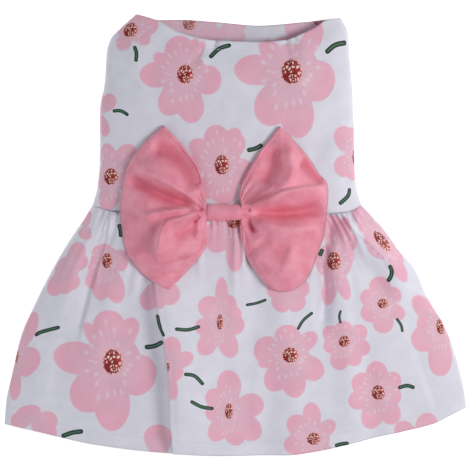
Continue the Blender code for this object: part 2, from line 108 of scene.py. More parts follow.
def smooth_line(points, count):
    """Places evenly spaced along a smooth line through the given ones."""
    points = np.array(points, float)
    if len(points) > 2:
        padded = np.vstack([2 * points[0] - points[1], points, 2 * points[-1] - points[-2]])
        parts = []
        for a, b, c, d in zip(padded, padded[1:], padded[2:], padded[3:]):
            t = np.linspace(0, 1, 12, endpoint=False)[:, None]
            curve = 2 * b + (c - a) * t + (2 * a - 5 * b + 4 * c - d) * t**2
            parts.append(0.5 * (curve + (3 * b - a - 3 * c + d) * t**3))
        points = np.vstack(parts + [points[-1:]])
    run = np.concatenate([[0], np.cumsum(np.hypot(*np.diff(points, axis=0).T))])
    at = np.linspace(0, run[-1], count)
    return np.stack([np.interp(at, run, points[:, axis]) for axis in (0, 1)], axis=1)


def ease(share):
    share = np.clip(share, 0.0, 1.0)
    return share * share * (3 - 2 * share)


def mix(first, second, share):
    return first + (second - first) * share


def column(rows, name, along):
    """One named column of a table, as a smooth curve of another."""
    return smooth_curve([getattr(row, along) for row in rows], [getattr(row, name) for row in rows])


print("a curve through 0, 1, 0 reads", float(smooth_curve([0, 1, 2], [0, 1, 0])(0.5)), "a quarter of the way")

# %% [markdown]
# The dress was cut by the shape of a small dog: the neck is scooped, the chest is wide and the waist
# seam curves up at its two ends. These are the same tables as in the solids, so that the cloth made
# here lies where they are.

# %% The cut of the bodice and the skirt
CLOTH = 1.2 * MM
GAP = 0.3 * MM
BODICE_LENGTH = 138.7 * MM
NECK_WIDTH = 140.0 * MM
NECK_SHIFT = 8.0 * MM
CHEST_WIDTH = 174.0 * MM
BODICE_SHIFT = -5.8 * MM
BACK_NECK_DEPTH = 19.6 * MM
BELLY_NECK_DEPTH = 7.8 * MM
BODICE_PUFF = 20.0 * MM
CREASE_RISE = 3.0 * MM
WAIST_WIDTH = 184.0 * MM
WAIST_CURVE = 8.0 * MM
WAIST_PUFF = 18.0 * MM
SKIRT_LENGTH = 162.5 * MM
HEM_WIDTH = 316.0 * MM
HEM_CURVE = 32.6 * MM
BELLY_HEM_RISE = 6.0 * MM
SKIRT_PUFF = 24.0 * MM
FOLD_RISE = 6.5 * MM
FULLNESS = 2.4
WAIST_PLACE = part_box("bodice_back")[1].y - BODICE_LENGTH

NeckRow = namedtuple("NeckRow", "across back belly")
NECK_LINE = [
    NeckRow(-1.00, 0.00, 0.00),
    NeckRow(-0.78, 0.26, 0.52),
    NeckRow(-0.57, 0.68, 0.50),
    NeckRow(-0.22, 0.95, 0.70),
    NeckRow(0.20, 1.00, 1.00),
    NeckRow(0.46, 0.93, 0.85),
    NeckRow(0.61, 0.72, 0.72),
    NeckRow(0.74, 0.50, 0.62),
    NeckRow(0.86, 0.22, 0.47),
    NeckRow(1.00, 0.14, 0.35),
]
BodiceRow = namedtuple("BodiceRow", "down left right waist puff")
BODICE_LEVELS = [
    BodiceRow(0.00, 0.00, 0.00, 0.00, 0.55),
    BodiceRow(0.07, 0.41, 0.50, 0.00, 0.66),
    BodiceRow(0.13, 0.70, 0.60, 0.00, 0.76),
    BodiceRow(0.20, 0.81, 0.65, 0.00, 0.84),
    BodiceRow(0.35, 0.86, 0.84, 0.00, 0.94),
    BodiceRow(0.50, 0.99, 0.94, 0.00, 1.00),
    BodiceRow(0.65, 1.00, 1.00, 0.00, 1.00),
    BodiceRow(0.80, 1.00, 1.00, 0.05, 1.00),
    BodiceRow(0.92, 1.00, 1.00, 0.40, 1.00),
    BodiceRow(1.00, 1.00, 1.00, 1.00, 1.00),
]
WaistRow = namedtuple("WaistRow", "across rise")
WAIST_LINE = [
    WaistRow(-1.00, 1.00),
    WaistRow(-0.90, 0.60),
    WaistRow(-0.78, 0.38),
    WaistRow(0.00, 0.00),
    WaistRow(0.78, 0.28),
    WaistRow(0.92, 0.50),
    WaistRow(1.00, 1.05),
]
SkirtRow = namedtuple("SkirtRow", "down left right waist puff")
SKIRT_LEVELS = [
    SkirtRow(0.00, 0.00, 0.00, 1.00, 0.00),
    SkirtRow(0.06, 0.09, 0.11, 0.50, 0.50),
    SkirtRow(0.12, 0.19, 0.21, 0.15, 0.84),
    SkirtRow(0.22, 0.35, 0.35, 0.00, 0.97),
    SkirtRow(0.32, 0.49, 0.51, 0.00, 0.92),
    SkirtRow(0.45, 0.65, 0.62, 0.00, 0.82),
    SkirtRow(0.60, 0.81, 0.79, 0.00, 0.70),
    SkirtRow(0.75, 0.90, 0.90, 0.00, 0.58),
    SkirtRow(0.90, 0.98, 0.97, 0.00, 0.46),
    SkirtRow(1.00, 1.00, 1.00, 0.00, 0.40),
]
HemRow = namedtuple("HemRow", "across rise")
HEM_LINE = [
    HemRow(-1.00, 0.65),
    HemRow(-0.87, 0.51),
    HemRow(-0.74, 0.36),
    HemRow(-0.62, 0.24),
    HemRow(-0.36, 0.08),
    HemRow(-0.04, 0.00),
    HemRow(0.22, 0.01),
    HemRow(0.34, 0.08),
    HemRow(0.47, 0.21),
    HemRow(0.60, 0.37),
    HemRow(0.73, 0.51),
    HemRow(0.86, 0.67),
    HemRow(0.92, 0.81),
    HemRow(1.00, 1.00),
]
print("the waist seam's middle is at", round(WAIST_PLACE / MM, 1), "mm")

# %% [markdown]
# A place on a cloth is given by two shares: across, from -1 at the left side seam to 1 at the right
# one, and down, from 0 at its top edge to 1 at its bottom edge. These helpers turn the two shares into
# a place in plan.

# %% The outlines in plan
back_neck_drop = column(NECK_LINE, "back", "across")
belly_neck_drop = column(NECK_LINE, "belly", "across")
waist_rise = column(WAIST_LINE, "rise", "across")
hem_rise = column(HEM_LINE, "rise", "across")
bodice_left = column(BODICE_LEVELS, "left", "down")
bodice_right = column(BODICE_LEVELS, "right", "down")
bodice_waist = column(BODICE_LEVELS, "waist", "down")
bodice_puff = column(BODICE_LEVELS, "puff", "down")
skirt_left = column(SKIRT_LEVELS, "left", "down")
skirt_right = column(SKIRT_LEVELS, "right", "down")
skirt_waist = column(SKIRT_LEVELS, "waist", "down")
skirt_puff = column(SKIRT_LEVELS, "puff", "down")


def bodice_sides(down):
    left = mix(NECK_SHIFT - NECK_WIDTH / 2, -CHEST_WIDTH / 2, bodice_left(down))
    right = mix(NECK_SHIFT + NECK_WIDTH / 2, CHEST_WIDTH / 2, bodice_right(down))
    left = mix(left, -WAIST_WIDTH / 2, bodice_waist(down))
    right = mix(right, WAIST_WIDTH / 2, bodice_waist(down))
    return BODICE_SHIFT + left, BODICE_SHIFT + right


def skirt_sides(down):
    left = mix(BODICE_SHIFT - WAIST_WIDTH / 2, -HEM_WIDTH / 2, skirt_left(down))
    right = mix(BODICE_SHIFT + WAIST_WIDTH / 2, HEM_WIDTH / 2, skirt_right(down))
    return left, right


def waist_y(across):
    return WAIST_PLACE + WAIST_CURVE * waist_rise(across)


def back_neck_y(across):
    return WAIST_PLACE + BODICE_LENGTH - BACK_NECK_DEPTH * back_neck_drop(across)


def belly_neck_y(across):
    side = np.where(across < 0, -1.0, 1.0)
    seam_drop = BACK_NECK_DEPTH * back_neck_drop(side) - BELLY_NECK_DEPTH * belly_neck_drop(side)
    drop = BELLY_NECK_DEPTH * belly_neck_drop(across) + seam_drop * across**2
    return WAIST_PLACE + BODICE_LENGTH - drop


def hem_y(across):
    return WAIST_PLACE - SKIRT_LENGTH + HEM_CURVE * hem_rise(across)


def belly_hem_y(across):
    return hem_y(across) + BELLY_HEM_RISE * (1 - across**2)


def plan_of(top, bottom, sides, across, down):
    """The place in plan of two shares."""
    left, right = sides(down)
    return mix(left, right, (across + 1) / 2), mix(top(across), bottom(across), down)


print("hem corners", [round(float(v) / MM, 1) for v in (hem_y(-1.0), hem_y(1.0))], "mm")

# %% [markdown]
# Cloth shows its folds as soft ridges and valleys. Each crease is a line of places in the photograph,
# with the width of its left and right flank (as seen by someone walking along it) and how high it
# stands. A narrow flank makes the crisp side of a fold and a wide one its soft side.

# %% Creases
Crease = namedtuple("Crease", "points left right rise")
CREASE_ENDS = 0.22


def crease_height(creases, px, py, crispness=2.0):
    """The summed height of the creases, in metres, at places in the photograph."""
    total = np.zeros(np.shape(px))
    for crease in creases:
        line = smooth_line(crease.points, 3 + 3 * len(crease.points))
        nearest = np.full(np.shape(px), 1e9)
        side = np.zeros(np.shape(px))
        along = np.zeros(np.shape(px))
        for index, ((ax, ay), (bx, by)) in enumerate(zip(line, line[1:])):
            dx, dy = bx - ax, by - ay
            share = np.clip(((px - ax) * dx + (py - ay) * dy) / (dx * dx + dy * dy), 0, 1)
            ox, oy = px - ax - share * dx, py - ay - share * dy
            away = np.hypot(ox, oy)
            closer = away < nearest
            nearest = np.where(closer, away, nearest)
            side = np.where(closer, dx * oy - dy * ox, side)
            along = np.where(closer, (index + share) / (len(line) - 1), along)
        width = np.where(side > 0, crease.right, crease.left)
        ends = ease(along / CREASE_ENDS + 0.15) * ease((1 - along) / CREASE_ENDS + 0.15)
        power = crispness if crease.rise > 0 else 2.0
        total += crease.rise * MM * ends * np.exp(-((nearest / width) ** power))
    return total


print("creases ready")

# %% [markdown]
# The bodice is nearly smooth: soft slanting creases, and two small tucks where the neckline was
# pulled together. The broad folds come from the solids' own tables, the fine ones from the photograph.

# %% The height of the bodice
Fold = namedtuple("Fold", "across_from down_from across_to down_to width rise")
BODICE_FOLDS = [
    Fold(-0.25, 0.00, -0.32, 0.16, 0.06, -0.40),
    Fold(0.46, 0.00, 0.52, 0.14, 0.05, -0.40),
    Fold(0.58, 0.02, 0.62, 0.30, 0.09, 0.50),
    Fold(-0.80, 0.10, -0.66, 0.42, 0.08, 0.50),
    Fold(0.78, 0.52, 0.60, 0.86, 0.09, -0.50),
    Fold(-0.72, 0.62, -0.56, 0.95, 0.09, -0.40),
]
NECK_CREASES = [
    Crease([(224, 24), (220, 33), (216, 43), (212, 56)], 2.0, 3.5, -2.4),
    Crease([(280, 30), (285, 36), (290, 44)], 1.4, 3.0, -2.4),
    Crease([(291, 30), (294, 35), (297, 42)], 1.2, 2.0, -1.8),
    Crease([(286, 33), (289, 42), (293, 58)], 2.5, 2.5, 1.4),
    Crease([(160, 24), (190, 36), (214, 42)], 2.5, 2.5, 1.0),
    Crease([(208, 40), (205, 52), (200, 70)], 4.0, 4.0, 0.8),
    Crease([(330, 206), (318, 176), (300, 150)], 7.0, 7.0, 0.9),
    Crease([(104, 204), (116, 188), (122, 160)], 6.0, 6.0, 0.9),
    Crease([(345, 208), (348, 190), (346, 160)], 5.0, 5.0, -0.8),
]
FOLD_ENDS = 0.3
SEAM_DIP = 1.7 * MM
SEAM_REACH = 1.6 * MM


def folds_at(folds, across, down):
    """The sum of the broad folds' rises at one place."""
    total = np.zeros(np.shape(across))
    for fold in folds:
        run = (down - fold.down_from) / (fold.down_to - fold.down_from)
        line = mix(fold.across_from, fold.across_to, run)
        near = np.exp(-(((across - line) / fold.width) ** 2))
        starts = 1.0 if fold.down_from <= 0 else ease(run / FOLD_ENDS + FOLD_ENDS)
        ends = 1.0 if fold.down_to >= 1 else ease((1 - run) / FOLD_ENDS + FOLD_ENDS)
        total += fold.rise * near * starts * ends
    return total


def fullness(across):
    """The height of a puffed cloth across its width, 0 at its side seams."""
    return np.maximum(1 - np.abs(across) ** FULLNESS, 0.0) ** (1 / FULLNESS)


def wrinkles(x, y, seed, spacing):
    """Shallow waves that no cloth is without, from -1 to 1."""
    rng = np.random.default_rng(seed)
    total = np.zeros(np.shape(x))
    for _ in range(9):
        turn = rng.uniform(0, math.pi)
        length = spacing * rng.uniform(0.7, 1.6)
        phase = rng.uniform(0, 2 * math.pi)
        bend = rng.uniform(-0.35, 0.35) * np.sin(2 * math.pi * x / (3.1 * spacing) + phase)
        run = x * math.cos(turn) + y * math.sin(turn)
        total += np.sin(2 * math.pi * run / length + phase + 3 * bend)
    return total / 9


def bodice_height(across, down):
    x, y = plan_of(back_neck_y, waist_y, bodice_sides, across, down)
    px, py = pixels(x, y)
    puff = mix(BODICE_PUFF * bodice_puff(down), WAIST_PUFF, bodice_waist(down))
    folds = CREASE_RISE * folds_at(BODICE_FOLDS, across, down) * (1 - bodice_waist(down))
    fine = crease_height(NECK_CREASES, px, py) + 0.8 * MM * wrinkles(x, y, 3, 34 * MM)
    fine += 0.15 * MM * wrinkles(x, y, 5, 9 * MM)
    dip = SEAM_DIP * np.exp(-(((y - waist_y(across)) / SEAM_REACH) ** 2))
    hem = 0.4 * MM * ease(2 - (back_neck_y(across) - y) / (3 * MM))
    return CLOTH / 2 + fullness(across) * (puff + folds + fine - dip + hem + CLOTH / 2)


print("bodice middle", round(float(bodice_height(np.array(0.0), np.array(0.5))) / MM, 1), "mm high")

# %% [markdown]
# The skirt is cut wider than the waist and gathered into the seam. Dozens of small gathers spring out
# of the seam and die away, a few of them run on as folds to the hem, and one large pleat laps over the
# cloth on its left.

# %% The height of the skirt
SKIRT_FOLDS = [
    Fold(-0.91, 0.02, -0.86, 0.50, 0.050, 0.60),
    Fold(-0.79, 0.02, -0.73, 0.52, 0.045, -0.60),
    Fold(-0.66, 0.00, -0.64, 0.70, 0.060, 0.45),
    Fold(-0.82, 0.55, -0.80, 1.00, 0.080, -0.40),
    Fold(-0.16, 0.30, -0.08, 1.00, 0.130, 0.40),
    Fold(0.14, 0.25, 0.12, 1.00, 0.080, -0.35),
    Fold(0.28, 0.30, 0.26, 1.00, 0.080, 0.40),
    Fold(0.62, 0.20, 0.50, 0.95, 0.060, 0.50),
    Fold(0.60, 0.55, 0.61, 1.00, 0.050, -0.45),
    Fold(0.76, 0.10, 0.80, 0.42, 0.050, -0.40),
]
SKIRT_CREASES = [
    Crease([(119, 214.7), (114.6, 225.5), (107.6, 244.6), (100, 268), (88, 310), (80, 345)], 7.0, 2.4, 3.4),
    Crease([(107.6, 213), (106, 221), (103, 232)], 1.4, 1.4, 1.8),
    Crease([(111.4, 213), (110.5, 223), (108, 236)], 1.4, 1.4, 1.8),
    Crease([(100, 214), (92, 232), (74, 262), (60, 290)], 6.0, 3.5, 2.4),
    Crease([(327, 214), (328, 238), (323, 262), (325, 290), (322, 334)], 6.5, 6.5, -7.5),
    Crease([(342, 217), (357, 232), (380, 253), (396, 275), (408, 300)], 14.0, 12.0, 9.5),
    Crease([(340, 215), (357, 232), (380, 253), (390, 266), (400, 282)], 12.0, 2.6, 4.0),
    Crease([(351, 240), (351, 262), (352, 300), (350, 330)], 9.0, 3.0, -1.8),
    Crease([(351.8, 210), (352, 222)], 1.2, 1.2, -2.4),
    Crease([(348.3, 211), (347, 225)], 1.5, 1.5, 1.8),
    Crease([(355.5, 210), (358, 224)], 1.7, 1.7, 1.8),
    Crease([(340.5, 213), (343.5, 221)], 1.1, 1.1, -2.0),
    Crease([(414, 344), (418, 356), (427, 381), (438, 410)], 14.0, 3.0, -3.2),
    Crease([(150, 225), (140, 262), (132, 300)], 5.0, 5.0, 1.6),
    Crease([(60, 330), (48, 372), (40, 412)], 8.0, 14.0, 1.8),
    Crease([(262, 320), (258, 380), (256, 440)], 16.0, 7.0, 1.8),
    Crease([(144, 262), (149, 290), (157, 336), (163, 378), (167, 429), (168, 462)], 7.0, 13.0, -5.0),
]
PLEAT_RIDGE = [Crease([(149, 262), (153, 284), (165, 336), (170, 378), (174, 429), (176, 462)], 36.0, 18.0, 9.5)]
PleatRow = namedtuple("PleatRow", "down across lap rise")
PLEAT_LINE = [
    PleatRow(0.20, -0.47, 0.0, 0.00),
    PleatRow(0.28, -0.43, 0.8, 0.60),
    PleatRow(0.36, -0.392, 1.8, 1.00),
    PleatRow(0.50, -0.325, 2.2, 1.00),
    PleatRow(0.68, -0.292, 2.2, 0.90),
    PleatRow(1.00, -0.262, 2.0, 0.80),
]
PLEAT_RISE = 5.0 * MM
PLEAT_HALF = 2.6 * MM
PLEAT_FADE = 0.30
PLEAT_COLUMN = -0.34
pleat_across = column(PLEAT_LINE, "across", "down")
pleat_lap = column(PLEAT_LINE, "lap", "down")
pleat_rise = column(PLEAT_LINE, "rise", "down")

rng = np.random.default_rng(11)
Gather = namedtuple("Gather", "across slant width fade rise")
GATHERS = []
for step in np.linspace(-0.97, 0.97, 50):
    fade = rng.choice([0.06, 0.10, 0.16, 0.28], p=[0.3, 0.35, 0.25, 0.1])
    place = step + rng.uniform(-0.014, 0.014)
    GATHERS.append(Gather(place, rng.uniform(-0.1, 0.1), rng.uniform(0.011, 0.018), fade, rng.uniform(2.6, 5.4)))


def gathers_at(across, down):
    """The small gathers that spring out of the waist seam, in metres."""
    total = np.zeros(np.shape(across))
    for gather in GATHERS:
        width = gather.width * (1 + 3 * down)
        line = gather.across * (1 - 0.25 * down) + gather.slant * down
        near = np.exp(-(((across - line) / width) ** 2))
        total += gather.rise * MM * near * np.exp(-((down / gather.fade) ** 1.5))
    return total * ease(down / 0.012 + 0.3)


def skirt_height(across, down):
    x, y = plan_of(waist_y, hem_y, skirt_sides, across, down)
    px, py = pixels(x, y)
    puff = WAIST_PUFF * skirt_waist(down) + SKIRT_PUFF * skirt_puff(down)
    left, right = skirt_sides(down)
    past = (across - pleat_across(down)) * (right - left) / 2
    step = ease(past / (0.9 * PLEAT_HALF) + 0.5)
    fading = 1 - ease((across - pleat_across(down)) / PLEAT_FADE)
    folds = FOLD_RISE * folds_at(SKIRT_FOLDS, across, down)
    folds += PLEAT_RISE * pleat_rise(down) * step * fading
    fine = crease_height(SKIRT_CREASES, px, py) + crease_height(PLEAT_RIDGE, px, py)
    fine += 1.0 * MM * wrinkles(x, y, 8, 38 * MM) + 0.2 * MM * wrinkles(x, y, 6, 11 * MM)
    forms = (folds + fine) * ease(down / 0.05 + 0.1) + gathers_at(across, down)
    dip = SEAM_DIP * np.exp(-(((y - waist_y(across)) / SEAM_REACH) ** 2))
    hem = 0.4 * MM * ease(2 - (y - hem_y(across)) / (4 * MM))
    return CLOTH / 2 + fullness(across) * (puff + forms - dip + hem + CLOTH / 2)


def pleat_shift(across, down):
    """How far the cloth runs under and back over itself at the large pleat, in metres."""
    left, right = skirt_sides(down)
    past = (across - pleat_across(down)) * (right - left) / 2
    inside = np.clip(past / PLEAT_HALF, -1, 1)
    return -pleat_lap(down) * MM * np.sin(math.pi * inside)


print(len(GATHERS), "gathers, skirt middle", round(float(skirt_height(np.array(0.0), np.array(0.5))) / MM, 1), "mm high")

# %% [markdown]
# A sheet of cloth is a grid of points joined by four-sided faces. It is made as one surface with its
# right side out, and Solidify then gives it its thickness and a wrong side of its own finish. The grid
# is finer where the cloth turns down at the side seams and where the gathers are.

# %% A sheet from a grid of points
def places_on(columns, rows, gathered=1.0, crowded_at=None):
    """The shares of a grid of places, as two arrays of rows by columns."""
    fine = np.linspace(-1, 1, 2001)
    weight = 1 + 1.6 * np.abs(fine) ** 6
    if crowded_at is not None:
        weight += 2.5 * np.exp(-(((fine - crowded_at) / 0.05) ** 2))
    run = np.concatenate([[0], np.cumsum(weight[1:] + weight[:-1])])
    across = np.interp(np.linspace(0, run[-1], columns + 1), run, fine)
    down = np.linspace(0, 1, rows + 1) ** gathered
    return np.meshgrid(across, down)


def grid_mesh(name, points, keep=None, flipped=False):
    """A mesh of four-sided faces over a grid of points, facing up."""
    rows, columns = points.shape[:2]
    index = np.arange(rows * columns).reshape(rows, columns)
    corners = (index[:-1, :-1], index[1:, :-1], index[1:, 1:], index[:-1, 1:])
    faces = np.stack(corners, axis=-1).reshape(-1, 4)
    if flipped:
        faces = faces[:, ::-1]
    if keep is not None:
        faces = faces[keep.reshape(-1)]
    mesh = bpy.data.meshes.new(name)
    mesh.from_pydata(points.reshape(-1, 3).tolist(), [], faces.tolist())
    mesh.update()
    mesh.shade_smooth()
    return mesh


def piece_from(name, mesh):
    piece = bpy.data.objects.new(name, mesh)
    bpy.context.scene.collection.objects.link(piece)
    return piece


def store_uv(mesh, name, values):
    """A UV map from one pair of numbers for each corner of each face."""
    layer = mesh.uv_layers.new(name=name)
    layer.data.foreach_set("uv", np.asarray(values, np.float32).reshape(-1))


def store_number(mesh, name, values):
    """A number for each point of the mesh."""
    layer = mesh.attributes.new(name, "FLOAT", "POINT")
    layer.data.foreach_set("value", np.asarray(values, np.float32).reshape(-1))


print("sheets are ready to be made")

# %% [markdown]
# The cloth is printed with a common cherry blossom: five or six round petals, a red middle of small
# beads, pale stamens, and short green stalks strewn between. Each blossom is charted as a
# place in the photograph, the width and height of its middle, and its petals as direction (degrees,
# anticlockwise from the right), reach and half width in pixels.

# %% The blossoms of the upper cloth
Blossom = namedtuple("Blossom", "px py wide high petals lean", defaults=(0.0,))


def ring(turn, reach, half, count=5):
    """Petals all alike round a blossom."""
    return [(turn + 360 * step / count, reach, half) for step in range(count)]


BODICE_BLOSSOMS = [
    Blossom(185.4, 74.6, 16, 18, [
        (104, 40, 14), (148, 38, 7), (181, 46, 12), (243, 46, 12.5), (279, 50, 12.5),
        (-15, 37, 13.5), (73, 39, 5.5), (61, 39, 5)]),
    Blossom(291.6, 72.1, 20, 24, [
        (135, 45, 9), (177, 58, 14), (241, 60, 17), (276.6, 67, 16), (-19, 46, 19), (58, 58, 9)]),
    Blossom(129, 29.5, 15.5, 14, [(62, 18, 9), (15, 31, 10), (-31, 25, 7), (-116, 23, 8), (160, 18, 8)]),
    Blossom(110.6, 176.6, 15.5, 16, [
        (100, 34, 9), (52, 40, 10), (-10, 30, 10), (-95, 34, 11), (190, 20, 9)]),
    Blossom(221.8, 165.2, 14, 19.5, [
        (101, 41, 12), (143, 40, 9), (67, 41, 8), (55, 36, 9), (-20, 34, 12), (-85, 40, 13),
        (-120, 38, 10), (175, 34, 10)]),
    Blossom(92, 111, 0, 0, [(30, 28, 8), (-59, 29, 7), (90, 20, 8)]),
    Blossom(361, 157, 12, 15, [(131, 38, 11), (103, 31, 9), (208, 31, 10), (246, 25, 9)]),
]
SKIRT_BLOSSOMS = [
    Blossom(107.5, 260.5, 10, 15, [
        (259, 41, 9), (286, 44, 9.5), (234, 33, 8), (180, 17, 8), (107, 18, 7), (0, 22, 10),
        (135, 19, 7), (215, 22, 8)]),
    Blossom(333.5, 261, 13.5, 17.5, [
        (261, 45, 7), (180, 18, 8), (92, 48, 9), (74, 46, 8), (50, 34, 8), (20, 22, 8), (-70, 42, 6)]),
    Blossom(382.7, 241, 24, 10.5, [
        (135, 34, 9), (128, 46, 9), (-49, 32, 8), (-60, 48, 7), (170, 20, 8)], -48.0),
    Blossom(113, 361.6, 19, 24, [
        (96, 52.5, 15.5), (126, 48, 7), (174, 60.6, 15), (232.5, 60, 18), (269, 70, 16.3),
        (-28, 47, 19), (63, 50, 9.5)]),
    Blossom(13, 357, 6, 12, [(65, 50, 9), (-10, 28, 12), (-39, 26, 10), (-90, 44, 7)]),
    Blossom(66, 270, 0, 0, [(58, 32, 9), (30, 26, 8), (-60, 22, 8), (235, 30, 9), (270, 24, 8)]),
    Blossom(88, 226, 0, 0, [(120, 16, 8), (250, 14, 8)]),
    Blossom(30, 424, 0, 0, [(102, 19, 12), (9, 28, 9), (-25, 29, 8), (170, 22, 8)]),
    Blossom(220, 321.7, 6, 15, [
        (87, 46, 6), (70, 29, 10), (125, 30, 10), (195, 26, 8), (240, 38, 9), (290, 38, 9), (-10, 25, 9),
        (30, 24, 7)]),
    Blossom(229, 411, 8, 15, [
        (15, 36, 11), (-41, 41, 11), (90, 42, 11), (135, 30, 9), (180, 24, 9), (240, 34, 9), (285, 36, 10)]),
    Blossom(290.2, 354.7, 15, 15, [
        (99, 31, 12), (168, 37.5, 13), (197, 34, 6), (239, 41.5, 11), (277, 43, 11.3),
        (-33, 39, 11), (40, 34, 8)]),
    Blossom(313.7, 438.9, 13, 12, [
        (95, 37.5, 8.5), (139, 33, 10), (40, 28, 7), (195, 31, 9), (-60, 30, 10), (-120, 28, 10)]),
    Blossom(382.7, 303.5, 10.5, 9.5, [
        (-32, 26, 7), (37, 22, 8), (100, 28, 10), (158, 25, 8), (215, 26, 9), (-90, 30, 10)]),
    Blossom(344, 341, 11, 11, [
        (95, 21, 8), (150, 24, 8), (30, 26, 8), (-20, 28, 8), (256, 30, 9), (-60, 28, 8), (200, 22, 7)]),
    Blossom(378.4, 392.7, 13, 14, [
        (95, 32, 10), (40, 28, 9), (150, 30, 10), (200, 32, 9), (255, 38, 10), (-60, 36, 10), (-15, 24, 9)]),
    Blossom(443, 327, 10, 15, [(134, 42, 9), (108, 32, 9), (170, 27, 9), (212, 36, 12), (-93, 50, 12)]),
    Blossom(418, 442, 0, 0, [(140, 28, 9), (62, 32, 10)]),
    Blossom(288, 292, 0, 0, ring(20, 22, 9)),
    Blossom(159, 459, 0, 0, [(92, 35, 13)]),
    Blossom(234, 224, 12, 9, [(211, 32, 12), (228, 36, 10), (-89, 49, 8), (0, 20, 9), (-40, 24, 8)]),
    Blossom(158, 280, 0, 0, [(247, 32, 9)]),
]
OVER_PLEAT = [
    Blossom(168.5, 366, 4, 8, [(80, 31, 9), (26, 28, 7), (-81, 34, 6), (-35, 17, 7)]),
    Blossom(157, 279, 0, 0, [(-48, 31, 10), (-85, 30, 8)]),
]
print(len(BODICE_BLOSSOMS) + len(SKIRT_BLOSSOMS) + len(OVER_PLEAT), "blossoms charted")

# %% The green stalks
Stalk = namedtuple("Stalk", "points half", defaults=(2.1,))
BODICE_STALKS = [
    Stalk([(134, 46), (136.5, 53), (136, 62)], 1.9),
    Stalk([(209.6, 58), (219, 49), (231, 45)], 2.2),
    Stalk([(325, 53), (335, 45), (349, 42)], 2.6),
    Stalk([(112, 111), (121, 111), (129, 115.5)], 1.7),
    Stalk([(247, 150.7), (255, 149), (262.5, 145)], 2.2),
    Stalk([(338.3, 204.2), (345, 199), (349.2, 194.5), (350.5, 188)]),
]
SKIRT_STALKS = [
    Stalk([(119, 224), (121, 231), (121.4, 237)]),
    Stalk([(319.5, 256), (321, 252), (322.5, 249)]),
    Stalk([(387, 281.5), (390.5, 276), (391.3, 270), (388.8, 265)]),
    Stalk([(34.4, 336), (40.2, 332.3), (60.3, 327)], 1.9),
    Stalk([(61, 437), (72, 433), (83, 431.5)], 2.3),
    Stalk([(145, 347), (155, 345.5), (163.4, 341)], 2.3),
    Stalk([(175.5, 328), (188, 329), (200.4, 325.7)], 1.8),
    Stalk([(184.4, 373), (195, 375), (203.6, 384)], 1.8),
    Stalk([(190.8, 400), (202, 406), (213.8, 408)], 1.8),
    Stalk([(157.7, 314), (160, 325), (164.7, 335.7)], 1.7),
    Stalk([(245.7, 304.7), (256, 303), (266.3, 299.3)], 1.4),
    Stalk([(297.3, 329.3), (303, 320), (312.6, 312)], 1.5),
    Stalk([(340.5, 310), (338.8, 316), (340.3, 323.3)], 1.2),
    Stalk([(396.2, 318.3), (401, 325), (402.4, 332)], 1.4),
    Stalk([(398.1, 388.1), (407.2, 385.7), (414.9, 388.1)], 1.9),
    Stalk([(335, 446), (342, 444), (349, 443.5)], 1.9),
]
print(len(BODICE_STALKS) + len(SKIRT_STALKS), "stalks charted")

# %% [markdown]
# The print lies on the flat cloth, so it has to be measured along the cloth and not in plan: where
# the cloth turns down at a side seam, more of the print fits than the photograph shows. The points'
# distance along a smooth arch without folds gives that. Each point then learns how deep inside a
# petal it is, and each face where it lies round the nearest blossom's middle and the nearest stalk.

# %% Laying the print on a cloth
FAR = 60.0
BODY = 0.52
EDGE_INSIDE = 7.0 * MM


def cloth_distance(x, z):
    """How much further the cloth runs than its plan, from the middle column outwards."""
    run = np.hypot(np.diff(x, axis=1), np.diff(z, axis=1))
    along = np.concatenate([np.zeros((len(x), 1)), np.cumsum(run, axis=1)], axis=1)
    middle = x.shape[1] // 2
    return (along - along[:, middle : middle + 1]) - (x - x[:, middle : middle + 1])


def nearest_extra(x, y, extra, at_x, at_y):
    """The extra distance of the cloth at the point nearest to a place."""
    row = np.argmin(np.abs(y[:, y.shape[1] // 2] - at_y))
    if not x[row, 0] < at_x < x[row, -1]:
        at_x = np.clip(at_x, x[row, 0] + EDGE_INSIDE, x[row, -1] - EDGE_INSIDE)
    index = np.argmin((x - at_x) ** 2 + (y - at_y) ** 2)
    return extra.reshape(-1)[index]


def petal_depth(dx, dy, petal):
    """How deep inside a petal each place is, in metres, and how far out along it."""
    turn, reach, half = petal
    turn = math.radians(turn)
    along = (dx * math.cos(turn) + dy * math.sin(turn)) / (reach * PIXEL)
    over = (dy * math.cos(turn) - dx * math.sin(turn)) / (half * PIXEL)
    widest = 0.62
    bulge = np.where(along > widest, (along - widest) / (1 - widest), (widest - along) / widest)
    taper = mix(0.80, 1.0, ease(along / widest))
    egg = np.sqrt(bulge**2 + (over / (1.12 * taper)) ** 2)
    return (1 - egg) * half * PIXEL, along


